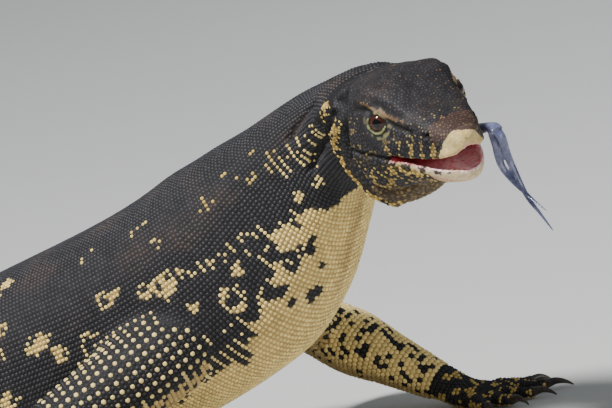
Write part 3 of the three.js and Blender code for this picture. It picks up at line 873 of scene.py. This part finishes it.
# Round bead scales of the legs, set like a honeycomb: pale beads in a dark ground, denser down the leg.
# Those of hands and feet are smaller, dark with straw-coloured blotches.
def limb_scales(coat, limb, gap, first, last, chart_low, chart_high, tint, bead):
    rows = max(2, int(limb.length * (last - first) / (gap * 0.9)))
    found = []
    for row in range(rows):
        t = first + (last - first) * (row + 0.5) / rows
        wide, high = (float(np.asarray(v)) for v in limb.halves(np.array(t)))
        girth = math.pi * (wide + high)
        around = max(6, 2 * round(girth / gap / 2))
        share = (np.arange(around) + 0.5 * (row % 2)) / around
        values = (t, share * 2 * np.pi, row, np.arange(around), share % 1, girth / around)
        found.append([np.broadcast_to(v, around) for v in values])
    t, angle, row, column, share, wide = (np.concatenate(v) for v in zip(*found))
    points = limb.surface(t, angle)
    colour, pale = tint(points, t, angle, row, column)
    size = np.stack([wide * scale_half, wide * scale_half, wide * 0.34], -1)
    size = size * (1 + bead * (pale - 0.5))[:, None] * rng.uniform(0.93, 1.05, (len(t), 1))
    spans = zip(chart_low, chart_high, (t, share))
    chart = np.stack([low + (high - low) * part for low, high, part in spans], -1)
    add_scales(coat, points, limb.along(limb.forward, t), size, colour, chart, wide)


def arm_tint(points, t, angle, row, column):
    pale = (row % 2 == 0) & (column % 2 == 0) & (t < 0.5)
    low = ease(-np.sin(angle), 0.2, 0.6)
    lower = (t >= 0.5) & (rng.random(len(t)) < 0.8)
    pale = pale | lower | (rng.random(len(t)) < 0.75 * low)
    ground = dark + (slate - dark) * rng.uniform(0, 0.6, (len(t), 1))
    # Painted shade: on the underside of the arm the cream of the pale beads darkens towards tan.
    light = (cream + (tan - cream) * (0.7 * low)[:, None]) * rng.uniform(0.75, 1.05, (len(t), 1))
    return ground + (light - ground) * pale[:, None], pale.astype(float)


def foot_tint(points, t, angle, row, column):
    pale = (clouds(points, 4.0, 5.0) > 0.22) | (np.sin(angle) < -0.6)
    ground = dark + (slate - dark) * rng.uniform(0, 0.6, (len(t), 1))
    light = straw * rng.uniform(0.6, 1.0, (len(t), 1))
    return ground + (light - ground) * pale[:, None], pale.astype(float)


def thigh_tint(points, t, angle, row, column):
    spots = clouds(points, 6.0, 9.0) + 0.5 * (row % 3 == 0) * (column % 3 == 0)
    pale = (spots > 0.3) | (np.sin(angle) < -0.72)
    ground = dark + (slate - dark) * rng.uniform(0, 0.6, (len(t), 1))
    light = straw + (cream - straw) * rng.uniform(0, 0.7, (len(t), 1))
    return ground + (light - ground) * pale[:, None], pale.astype(float)


for name in legs:
    palm, toes, _ = feet[name]
    end = name.split("_")[0]
    low = 0.02 if name.endswith("left") else 0.52
    coat = "foreleg_scales" if end == "fore" else "hindleg_scales"
    foot_coat = "hand_scales" if end == "fore" else "foot_scales"
    tint = arm_tint if end == "fore" else thigh_tint
    gap = 2.7 if end == "fore" else 2.9
    limb_scales(coat, limbs[name], gap, 0.05, 0.99, (low, 0.02), (low + 0.46, 0.98), tint, 0.26)
    limb_scales(foot_coat, palm, 2.4, 0.0, 0.98, (low, 0.02), (low + 0.2, 0.5), foot_tint, 0.1)
    for k, toe in enumerate(toes):
        across = (low + 0.24 + 0.04 * k, low + 0.27 + 0.04 * k)
        limb_scales(foot_coat, toe, 1.9, 0.12, 0.98, (across[0], 0.02), (across[1], 0.98), foot_tint, 0.1)

# Scales of the head: small and irregular, flat on the crown, round on the jaws. They are strewn over the
# skin with a spacing that follows the place, and none lie in the mouth.
face_points = (corners(face.data) - shift) * 1000
face_normals = corner_normals(face.data)
face_local = head_place(face_points)
face_x, face_y, face_z = face_local.T
face_up = face_normals @ head_axes[2]


def in_mouth(local, up_part, margin):
    x, y, z = local.T
    inside = (x > 57) & (np.abs(y) < head_wide(np.clip(x, 0, head_length)) - margin)
    roof = (up_part < -0.2) & (z > head_lip(x) - 0.4) & (z < 2)
    floor = (up_part > 0.15) & (z < head_jaw(x) + 0.6) & (z > head_jaw(x) - 7.5)
    return inside & (roof | floor)


def strewn(points, spacing, allowed):
    """Indices of points no closer together than their spacing, in seeded random order."""
    cell = float(spacing.max())
    grid, kept = {}, []
    keys = np.floor(points / cell).astype(int)
    listed = points.tolist()
    for i in rng.permutation(np.nonzero(allowed)[0]).tolist():
        kx, ky, kz = keys[i].tolist()
        px, py, pz = listed[i]
        limit = spacing[i] ** 2
        crowded_here = any(
            (qx - px) ** 2 + (qy - py) ** 2 + (qz - pz) ** 2 < limit
            for cx in (kx - 1, kx, kx + 1)
            for cy in (ky - 1, ky, ky + 1)
            for cz in (kz - 1, kz, kz + 1)
            for qx, qy, qz in grid.get((cx, cy, cz), ()))
        if not crowded_here:
            kept.append(i)
            grid.setdefault((kx, ky, kz), []).append((px, py, pz))
    return np.array(kept, int)


def gap_from(x, y, z):
    """Distance of the face's skin from a point or its mirror image, whichever is nearer."""
    return np.minimum(*[np.linalg.norm(face_local - (x, side * y, z), axis=1) for side in (1, -1)])


eye_gap = gap_from(eye_x + 1, eye_y + 5, eye_z)
ball_gap = gap_from(eye_x, eye_y, eye_z)
lip_line = -9.3
face_spacing = np.interp(face_z, (-40, -20, -5, 8), (2.1, 1.9, 1.75, 1.5))
face_spacing = np.where(eye_gap < 11, 1.15, face_spacing)
lid_zone = ball_gap < eye_radius + 3.2
face_spacing = np.where(lid_zone, 0.85, face_spacing)
brow_line = np.array([(45, 24.8, 18.5), (48, 23.8, 17.6), (56, 21.6, 14.4), (66, 18.4, 10.8), (72, 17, 9)])
brow_shadow_line = np.array([(40, 27.5, 14), (46, 26, 14.8), (56, 24.2, 11), (66, 20, 7.4), (76, 17, 5.6)])
mirrored = face_local * (1, -1, 1)
brow_gap = path_distance(np.where(face_local[:, 1:2] < 0, mirrored, face_local), brow_line)
face_spacing = np.where(brow_gap < 2.2, 1.05, face_spacing)
face_spacing = np.where(face_x < 4, 2.0, face_spacing)
under_lip = head_jaw(face_x) - face_z
smooth_lip = (face_x > 60) & (under_lip < 2.6 + 0.16 * (face_x - 60)) & (face_z < lip_line)
smooth_lip |= (face_x > 76 + 0.5 * under_lip) & (face_z < lip_line)
snout_skin = (face_x > 94 + 0.45 * np.clip(face_z, -6, 10)) & (face_z > lip_line)
face_spacing = np.where(smooth_lip, 2.6, np.where(snout_skin, 2.2, face_spacing))
rim_gap = np.minimum(np.abs(face_z - head_lip(face_x)), np.abs(face_z - head_jaw(face_x)))
lip_rim = (face_x > 60) & (rim_gap < 1.5)
bare = lip_rim | in_mouth(face_local, face_up, 1.4) | (ball_gap < eye_radius + 0.55) | (face_x < -1)
chosen = strewn(face_points, face_spacing, ~bare)


def head_tint(local, up_part):
    """Colours of the head from its own frame: dark crown, barred lips, pale snout, freckled jaws."""
    x, y, z = local.T
    count = len(x)
    near_side = y < 0
    colour = dark + (slate - dark) * rng.uniform(0.2, 1.2, (count, 1))
    rough = clouds(local, 5.0, 2.0)
    fine = clouds(local, 2.4, 8.0)
    broad = clouds(local, 14.0, 4.0)
    crown = z > 8
    haze = np.clip(broad * 1.6 + 0.25, 0, 1) * crown
    colour += (umber * 0.9 - colour) * (haze * rng.uniform(0.1, 0.8, count))[:, None]

    def paint(mask, tone, share=1.0):
        colour[:] += (tone * rng.uniform(0.8, 1.1, (count, 1)) - colour) * (mask * share)[:, None]

    rust = np.array([0.30, 0.16, 0.08])
    paint(crown & (fine > 0.46), rust * 0.8, 0.4)
    side_face = (z <= 12) & (z > -14) & (x > 26)
    paint(side_face & (fine > 0.24), np.array([0.30, 0.235, 0.09]), 0.6)
    one_side = np.stack([x, np.abs(y), z], -1)
    crown_spots = (
        ((44.6, -1.8, 20.3), 2.0), ((27, -11, 20.3), 1.8), ((40, -17.5, 20), 2.0), ((59, -13, 16), 1.2),
        ((46, 8, 20), 1.8), ((85, -2.5, 10), 1.6), ((30, -22, 17), 1.6), ((22, 8, 20), 1.6),
        ((66, 6, 14), 1.4),
    )
    for spot, radius in crown_spots:
        paint(np.linalg.norm(local - spot, axis=1) < radius + fine, np.array([0.50, 0.30, 0.14]), 0.9)
    lip_band = (z < 1) & (z > -12) & (x > 58)
    bars = np.sin(x / 7.4 * 2 * np.pi + 1.5 + fine) > 0.1
    paint(lip_band & bars & (x < 92), straw * 0.8, 0.6)
    paint(lip_band & ~bars, dark, 0.75)
    snout_edge = 94.4 + 0.45 * np.clip(z, -6, 10) + 0.5 * np.clip(y + 4, 0, 8) + 1.2 * rough
    snout = (x > snout_edge) & (z > -10)
    paint(snout, np.array([0.68, 0.50, 0.22]) + 0.1 * fine[:, None])
    # Painted shade: the pale snout darkens to tan along the edge of the upper lip.
    paint(snout & (z < head_lip(x) + 2.6), np.array([0.62, 0.42, 0.17]), 0.6)
    paint((x > 85) & ~snout & (z > 2), np.array([0.11, 0.06, 0.04]), 0.6)
    paint(np.linalg.norm(local - (98, -4, 2.6), axis=1) < 1.5, dark * 2, 0.9)
    jaw_side = z < -9
    paint(jaw_side & (fine + 0.5 * rough > -0.02), straw * 0.75, 0.8)
    below_lip = head_jaw(x) - z
    paint(jaw_side & (x > 54) & (below_lip < 9 + 2 * fine), straw, 0.9)
    paint(jaw_side & (x > 34) & (x < 60) & (below_lip < 7) & (fine > 0.02), dark, 0.9)
    paint(jaw_side & (x > 76 + 0.5 * below_lip + fine), np.array([0.62, 0.39, 0.23]), 0.95)
    lip_edge = jaw_side & (x > 60) & (below_lip < 2.4 + 0.16 * (x - 60) + 0.6 * fine)
    paint(lip_edge, np.array([0.72, 0.57, 0.34]), 0.95)
    lip_bars = ((50, 2.4, 4), (57, 1.6, 4), (66, 3.4, 6), (76, 2.0, 5), (85.5, 2.1, 4.5), (92, 1.0, 3))
    for spot, wide, tall in lip_bars:
        bar = jaw_side & (np.abs(x - spot + fine) < wide) & (below_lip < tall) & (below_lip > 0.7)
        paint(bar, dark, 0.93)
    # Painted shade: the underside of the jaw and throat is darkened to brown, with darker blotches on it.
    gular_shade = (z < -29) | ((z < -24) & (x > 60) & (x < 80))
    paint(gular_shade, np.array([0.20, 0.13, 0.05]), 0.75)
    paint(gular_shade & (fine > 0.1), np.array([0.05, 0.035, 0.02]), 0.8)
    paint((x < 27) & near_side & (z < 16), dark, 0.95)
    ridges = np.minimum(*[path_distance(local, fold_lines[k]) for k in ridge_folds])
    by_folds = ((x < 27) | (z < -26)) & near_side & (z < 16)
    paint(by_folds & (ridges < 4.4 + 1.4 * rough) & (fine > -0.24), straw, 0.95)
    left_ridge = path_distance(local, smooth_path(((10, 29, 8), (9, 31, -8), (14, 29, -22))))
    paint((y > 0) & (x < 27) & (left_ridge < 4 + rough) & (fine > -0.1), straw, 0.9)
    for side in (1, -1):
        distance, _, spread, height = eye_view(local, side)
        by_eye = distance < 13
        # Painted shade: the skin round the eye is darkened, and stays dark between the lid rings.
        paint(by_eye & (spread < 2.3), dark * 1.6, 0.6)
        lit_ring = (np.cos((spread - 1.15) * 14) > 0.25) & (spread < 2.0)
        paint(by_eye & lit_ring & (height < -0.1) & (spread < 1.4), np.array([0.34, 0.35, 0.12]), 0.8)
        outer_ring = by_eye & lit_ring & (height < -0.2) & (spread > 1.4) & (fine > -0.1)
        paint(outer_ring, np.array([0.20, 0.18, 0.075]), 0.7)
        paint(by_eye & lit_ring & (height > 0.05) & (spread < 1.4), np.array([0.27, 0.25, 0.10]), 0.75)
    paint(path_distance(one_side, brow_line) < 1.5 + 1.4 * fine, np.array([0.27, 0.175, 0.085]), 0.8)
    # Painted shadow: a dark line along the groove under the brow.
    paint(path_distance(one_side, brow_shadow_line) < 1.3, dark * 0.5, 0.95)
    # Painted shade: the nostril pits and ear cups are painted near black, as the shade inside them.
    for side in (1, -1):
        pit = np.linalg.norm((local - nostril * (1, side, 1)) / nostril_stretch, axis=1)
        paint(pit < 1.9, np.array([0.004, 0.003, 0.003]))
        cup = np.linalg.norm((local - ear * (1, side, 1)) / ear_stretch, axis=1)
        paint(cup < 3.4, np.array([0.01, 0.008, 0.008]))
    return colour


head_colour = head_tint(face_local[chosen], face_up[chosen])
head_size = face_spacing[chosen][:, None] * np.array([0.53, 0.56, 0.24])
head_size *= rng.uniform(0.88, 1.1, (len(chosen), 1))
lowered = np.interp(face_z[chosen], (-12, 6), (1.1, 0.6)) * np.where(lid_zone[chosen], 0.5, 1.0)
lowered *= np.where(smooth_lip[chosen], 0.12, np.where(snout_skin[chosen], 0.3, 1.0))
head_size[:, 2] *= lowered
round_head = np.degrees(np.arctan2(face_z[chosen] + 6, face_y[chosen])) % 360
along_head = np.clip((face_x[chosen] + 2) / 110, 0, 1)
head_chart = np.stack([0.02 + 0.96 * along_head, 0.01 + 0.98 * round_head / 360], -1)
head_lie = np.tile(-head_axes[0], (len(chosen), 1))
add_scales("head_scales", face_points[chosen], head_lie, head_size, head_colour, head_chart,
           face_spacing[chosen])


# Every scale is set onto the skin. Those that the joining of leg and body swallowed are left out, and bare
# places at the joints are strewn with more. Each coat is one mesh of low six-sided domes, lying like tiles.
crowding = 0.00058
bare_gap = 0.86
skin_points = np.vstack([corners(hide.data), corners(face.data)])
skin_faces = [list(p.vertices) for p in hide.data.polygons]
offset = len(hide.data.vertices)
skin_faces += [[v + offset for v in p.vertices] for p in face.data.polygons]
skin_normals = np.vstack([corner_normals(hide.data), corner_normals(face.data)])
skin_tree = bvhtree.BVHTree.FromPolygons(skin_points.tolist(), skin_faces)

dome = bmesh.new()
bmesh.ops.create_circle(dome, cap_ends=True, segments=6, radius=1.0)
bmesh.ops.inset_individual(dome, faces=dome.faces, thickness=0.3, depth=0.0)
top_face = max(dome.faces, key=lambda f: len(f.verts))
for vertex in top_face.verts:
    vertex.co.z = 0.72
bmesh.ops.poke(dome, faces=[top_face], offset=0.28)
bmesh.ops.recalc_face_normals(dome, faces=dome.faces)
dome.verts.ensure_lookup_table()
dome_points = np.array([v.co[:] for v in dome.verts])
if sum(f.normal.z for f in dome.faces) < 0:
    bmesh.ops.reverse_faces(dome, faces=dome.faces)
dome_faces = [[v.index for v in f.verts] for f in dome.faces]
dome.free()


def set_on_skin(points, reach):
    """Nearest place on the skin for each point, its normal, and whether it was near enough."""
    places, normals, near = np.zeros_like(points), np.zeros_like(points), np.zeros(len(points), bool)
    for i, p in enumerate(placed(points)):
        location, normal, index, distance = skin_tree.find_nearest(Vector(p))
        places[i] = location
        normals[i] = skin_normals[skin_faces[index]].mean(0)
        near[i] = distance * 1000 < reach
    return places, unit(normals), near


def search_tree(places, chosen_ones):
    """A tree that finds the nearest of the chosen places."""
    found = kdtree.KDTree(len(chosen_ones))
    for i in chosen_ones:
        found.insert(places[i], int(i))
    found.balance()
    return found


settled, gathered, all_coats = {}, [], []
for coat, groups in coats.items():
    points, lie, size, colour, chart, spacing = (np.concatenate([g[k] for g in groups]) for k in range(6))
    places, normals, near = set_on_skin(points, 5.0 if coat == "head_scales" else 4.2)
    if coat == "neck_scales":
        local = head_place((places - shift) * 1000)
        near &= ~((local[:, 0] > -0.5) & (np.abs(local[:, 1]) < 45))
    settled[coat] = [v[near] for v in (places, normals, lie, size, colour, chart)]
    gathered.append([v[near] for v in (places, colour, spacing, chart)])
    all_coats += [coat] * int(near.sum())
all_places, all_colours, all_spacing, all_charts = (np.concatenate(v) for v in zip(*gathered))

crowded = np.zeros(len(all_places), bool)
tree = search_tree(all_places, range(len(all_places)))
for i, p in enumerate(all_places):
    if crowded[i]:
        continue
    for _, j, distance in tree.find_range(Vector(p), crowding * all_spacing[i]):
        if j > i:
            crowded[j] = True
start = 0
for coat in settled:
    count = len(settled[coat][0])
    keep = ~crowded[start:start + count]
    settled[coat] = [part[keep] for part in settled[coat]]
    start += count

hide_points = corners(hide.data)
hide_normals = corner_normals(hide.data)
gap, nearest = np.zeros(len(hide_points)), np.zeros(len(hide_points), int)
tree = search_tree(all_places, np.nonzero(~crowded)[0])
for i, p in enumerate(hide_points):
    _, j, distance = tree.find(Vector(p))
    gap[i], nearest[i] = distance * 1000, j
hide_x, hide_y, _ = head_place((hide_points - shift) * 1000).T
hidden = (hide_x > -2) & (np.abs(hide_y) < 45)
open_spots = (gap > bare_gap * all_spacing[nearest]) & ~hidden
filled = strewn(hide_points * 1000, all_spacing[nearest] * bare_gap, open_spots)
coat_of = np.array(all_coats)
for coat in settled:
    mine = filled[coat_of[nearest[filled]] == coat]
    if not len(mine):
        continue
    like = nearest[mine]
    half = all_spacing[like][:, None] * np.array([0.45, 0.45, 0.3])
    lie = np.tile(np.array([0.1, 0.0, -1.0]), (len(mine), 1))
    extra = [hide_points[mine], hide_normals[mine], lie, half, all_colours[like], all_charts[like] + 0.002]
    settled[coat] = [np.concatenate([a, b]) for a, b in zip(settled[coat], extra)]


def hide_paint(tone, shine):
    grain = grain_of(tone, 700.0, 3.0)
    colour = shaded(tone, 0.72 + 0.56 * grain)
    roughness = shine + 0.3 * grain_of(tone, 90.0)
    return {"Base Color": colour, "Roughness": roughness, "Normal": relief_of(tone, grain, 0.25, 0.0002)}


scale_finish = finish_of("scales", lambda tone: hide_paint(tone, 0.46), 0.5, Specular_IOR_Level=0.4,
                         Coat_Weight=0.03, Coat_Roughness=0.3)
skin_finish = finish_of("skin between scales", lambda tone: hide_paint(tone, 0.55), 0.6,
                        Specular_IOR_Level=0.3)
scale_sink = 0.00016


def build_coat(coat, places, normals, lie, size, colour, chart):
    along = unit(lie - normals * (lie * normals).sum(1, keepdims=True))
    across = np.cross(along, normals)
    count, corners_each = len(places), len(dome_points)
    half = size * 0.001
    points = places[:, None] + across[:, None] * (dome_points[None, :, 0:1] * half[:, None, 0:1])
    points += along[:, None] * (dome_points[None, :, 1:2] * half[:, None, 1:2])
    lean = dome_points[None, :, 1:2] * half[:, None, 2:3] * 0.22
    lift = dome_points[None, :, 2:3] * half[:, None, 2:3] - scale_sink
    points += normals[:, None] * (lift + lean * (dome_points[None, :, 2:3] > 0.1))
    loops = np.concatenate(dome_faces)
    totals = np.array([len(f) for f in dome_faces])
    index = (loops[None] + np.arange(count)[:, None] * corners_each).ravel()
    mesh = bpy.data.meshes.new(coat)
    mesh.vertices.add(count * corners_each)
    mesh.loops.add(len(index))
    mesh.polygons.add(count * len(dome_faces))
    mesh.vertices.foreach_set("co", points.astype(np.float32).ravel())
    mesh.loops.foreach_set("vertex_index", index.astype(np.int32))
    starts = np.concatenate([[0], np.cumsum(np.tile(totals, count))[:-1]])
    mesh.polygons.foreach_set("loop_start", starts.astype(np.int32))
    mesh.update(calc_edges=True)
    mesh.validate()
    uv = mesh.uv_layers.new(name="OFBake")
    patch = chart[:, None] + dome_points[None, loops, :2] * 0.0015
    uv.data.foreach_set("uv", patch.astype(np.float32).ravel())
    painted_corners(mesh, np.repeat(colour, corners_each, axis=0))
    mesh.shade_smooth()
    mesh.materials.append(scale_finish)
    thing = bpy.data.objects.new(coat, mesh)
    bpy.context.scene.collection.objects.link(thing)
    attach(thing, "root")


for coat, parts in settled.items():
    build_coat(coat, *parts)

# Hide and face: the colours of the skin follow the scales that lie on it, darker in the furrows. The
# mouth inside is wet and pink, with paler gums, and painted shade makes it darker red towards the back
# and on the roof.
kept_colours = np.concatenate([parts[4] for parts in settled.values()])
kept_places = np.concatenate([parts[0] for parts in settled.values()])
tree = search_tree(kept_places, range(len(kept_places)))


def furrow_colours(mesh):
    found = np.array([[j for _, j, _ in tree.find_n(Vector(p), 3)] for p in corners(mesh)])
    near = kept_colours[found]
    darkest = near.sum(-1).argmin(1)
    return near[np.arange(len(near)), darkest] * np.array([0.6, 0.52, 0.46])


painted_corners(hide.data, furrow_colours(hide.data))
face_colour = furrow_colours(face.data)
smooth = (smooth_lip | snout_skin | lip_rim | lid_zone)[:, None]
face_colour = np.where(smooth, head_tint(face_local, face_up), face_colour)
mouth = in_mouth(face_local, face_up, 1.6)
front = ease(face_x, 62, 86)
floor_side = face_up > 0
wrinkle = clouds(face_local * (1, 2.2, 1), 2.2, 6.0)
gum = np.clip(2.2 * wrinkle + 0.6, 0, 1) * ease(face_x, 68, 86) * floor_side
deep_red_shade = np.array([0.42, 0.05, 0.06])
pink = np.array([0.95, 0.42, 0.42])
pale_gum = np.array([1.0, 0.86, 0.83])
# Painted shade: the lining is darker red towards the back of the mouth and on the roof.
lining_colour = deep_red_shade + (pink - deep_red_shade) * (front * np.where(floor_side, 1.0, 0.6))[:, None]
lining_colour += (pale_gum - lining_colour) * gum[:, None]
face_colour[mouth] = lining_colour[mouth]
rim = in_mouth(face_local, face_up, 0.4) & ~mouth
face_colour[rim] = (0.66, 0.40, 0.34)
# Painted shade: the skin where the lids meet the eyeball is painted near black.
socket_shade = ball_gap < eye_radius + 0.5
face_colour[socket_shade] = (0.006, 0.005, 0.004)
painted_corners(face.data, face_colour)
in_lining = mouth | rim
lining = np.array([all(in_lining[v] for v in p.vertices) for p in face.data.polygons])


def mouth_paint(tone):
    ridges = grain_of(tone, 260.0)
    return {"Base Color": shaded(tone, 0.8 + 0.4 * ridges), "Normal": relief_of(tone, ridges, 0.7, 0.001)}


mouth_finish = finish_of("wet mouth", mouth_paint, 0.2, Coat_Weight=0.8, Coat_Roughness=0.08)
for thing in (hide, face):
    thing.data.shade_smooth()
    thing.data.materials.append(skin_finish)
    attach(thing, "root")
face.data.materials.append(mouth_finish)
face.data.polygons.foreach_set("material_index", lining.astype(np.int32))
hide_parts("head", "lower_jaw")
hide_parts("neck", "torso_front", "torso_rear", "tail_base", "tail_middle", "tail_tip",
            "upper_arm_left", "forearm_left", "hand_left", "upper_arm_right", "forearm_right", "hand_right",
            "thigh_left", "shank_left", "foot_left", "thigh_right", "shank_right", "foot_right")


# The tongue: a flat stem out of the left side of the mouth, then two thin tines that droop and cross. Wet
# muscle, blue-grey to violet, with pale blotches.
def tongue_form(points, wide, high, taper):
    hint = head_axes[2] + 0.9 * head_axes[0]

    def halves(t):
        thin = 1 - taper * t**1.2
        return wide * thin, high * thin

    limb = Limb([in_head(*p) for p in points], halves, hint)
    return bent_grid(60, 16, limb.surface)


tongue_stem = (
    (57, 6, -9.8), (62, 12, -9.9), (67, 17, -9.6), (71, 20.8, -9.2), (76, 23, -8.2), (80.5, 24, -7.4),
    (84, 24.2, -8.6))
outer_tine = (
    (82.6, 24, -7.8), (85.4, 25, -12.8), (84.4, 26, -23.6), (87.3, 26.5, -34), (92.2, 27, -44.6),
    (100.9, 27.5, -52.1), (108.7, 28, -59.3))
inner_tine = (
    (80.6, 23.2, -8), (82.6, 22.4, -15.8), (83.9, 21.5, -25.9), (88.4, 23, -33.9), (98.4, 25, -41.6),
    (110.5, 26.5, -47.5))
tongue = joined("forked_tongue", [
    tongue_form(tongue_stem, 3.6, 1.7, 0.0),
    tongue_form(outer_tine, 2.7, 1.2, 0.82),
    tongue_form(inner_tine, 2.7, 1.2, 0.82),
])
tongue_cell = 0.00035
remeshed(tongue, tongue_cell)
relaxed(tongue.data, np.full(len(tongue.data.vertices), 0.8), 4)


def tongue_paint(tone):
    blotch = grain_of(tone, 220.0, 3.0)
    stops = ((0.3, (0.055, 0.06, 0.13)), (0.55, (0.14, 0.15, 0.27)), (0.75, (0.32, 0.31, 0.42)))
    colour = tone.make("ShaderNodeValToRGB", {"stops": stops}, {0: blotch})
    return {"Base Color": colour, "Normal": relief_of(tone, blotch, 0.3, 0.0004)}


tongue.data.shade_smooth()
tongue.data.materials.append(finish_of("wet tongue", tongue_paint, 0.22, Coat_Weight=0.6, Coat_Roughness=0.1))
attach(tongue, "root")
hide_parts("tongue")


# Claws: hooked horn, one on each toe, dark and smooth with faint brown streaks. Each is a tube that
# thins along its bend.
def claw_form(points):
    def halves(t):
        thin = 1 - 0.86 * t**1.2
        return 1.9 * thin, 2.6 * thin

    return bent_grid(20, 14, Limb(points, halves, (0, 0, 1)).surface)


claws = joined("claws", [claw_form(line) for name in legs for line in feet[name][2]])


def claw_paint(tone):
    stops = ((0.35, (0.012, 0.01, 0.009)), (0.7, (0.07, 0.05, 0.035)))
    return {"Base Color": tone.make("ShaderNodeValToRGB", {"stops": stops}, {0: grain_of(tone, 400.0)})}


claws.data.shade_smooth()
claws.data.materials.append(finish_of("horn", claw_paint, 0.3, Coat_Weight=0.3, Coat_Roughness=0.15))
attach(claws, "root")

# The camera looks at the head and shoulders from the right front, a little above, through a long lens,
# and is rolled as the picture is.
azimuth, elevation, camera_roll = (math.radians(v) for v in (28, 10, 13))
flat_right = np.array([math.cos(azimuth), math.sin(azimuth), 0])
level = math.cos(elevation)
back = np.array([math.sin(azimuth) * level, -math.cos(azimuth) * level, math.sin(elevation)])
flat_up = np.cross(back, flat_right)
right = math.cos(camera_roll) * flat_right - math.sin(camera_roll) * flat_up
up = math.sin(camera_roll) * flat_right + math.cos(camera_roll) * flat_up
between_eyes = placed(in_head(52.0, 0.0, 8.6))
aim = between_eyes - 0.0542 * right - 0.0488 * up
camera_distance = 4.5
camera_data = bpy.data.cameras.new("camera")
camera_data.sensor_width = 36
camera_data.lens = 537
camera_data.clip_start, camera_data.clip_end = 0.5, 60
camera = bpy.data.objects.new("camera", camera_data)
bpy.context.scene.collection.objects.link(camera)
camera_columns = np.column_stack([right, up, back, aim + camera_distance * back])
camera.matrix_world = Matrix(np.vstack([camera_columns, [0, 0, 0, 1]]).tolist())
bpy.context.scene.camera = camera

# Studio: a wide pale floor, one large soft light above on the left of the view, and a weak one on the
# right under a dim blue-grey sky.
floor_form = bmesh.new()
bmesh.ops.create_grid(floor_form, x_segments=2, y_segments=2, size=150)
floor_mesh = bpy.data.meshes.new("floor")
floor_form.to_mesh(floor_mesh)
floor_form.free()
floor = bpy.data.objects.new("floor", floor_mesh)
bpy.context.scene.collection.objects.link(floor)
floor_finish = bpy.data.materials.new("pale floor")
floor_finish.use_nodes = True
floor_inputs = floor_finish.node_tree.nodes["Principled BSDF"].inputs
floor_inputs["Base Color"].default_value = (0.62, 0.62, 0.6, 1)
floor_inputs["Roughness"].default_value = 0.9
floor_mesh.materials.append(floor_finish)
lamps = (
    ("key", back * 1.15 - right * 1.55 + up * 1.7, 128, 0.45),
    ("fill", back * 1.6 + right * 1.6 + up * 0.4, 10, 1.2),
)
for lamp, place, power, size in lamps:
    light_data = bpy.data.lights.new(lamp, "AREA")
    light_data.energy = power
    light_data.size = size
    light = bpy.data.objects.new(lamp, light_data)
    bpy.context.scene.collection.objects.link(light)
    light.location = between_eyes + place
    light.rotation_euler = Vector(-place).to_track_quat("-Z", "Y").to_euler()
world = bpy.data.worlds.new("studio")
world.use_nodes = True
sky_inputs = world.node_tree.nodes["Background"].inputs
sky_inputs["Color"].default_value = (0.75, 0.82, 0.9, 1)
sky_inputs["Strength"].default_value = 0.3
bpy.context.scene.world = world
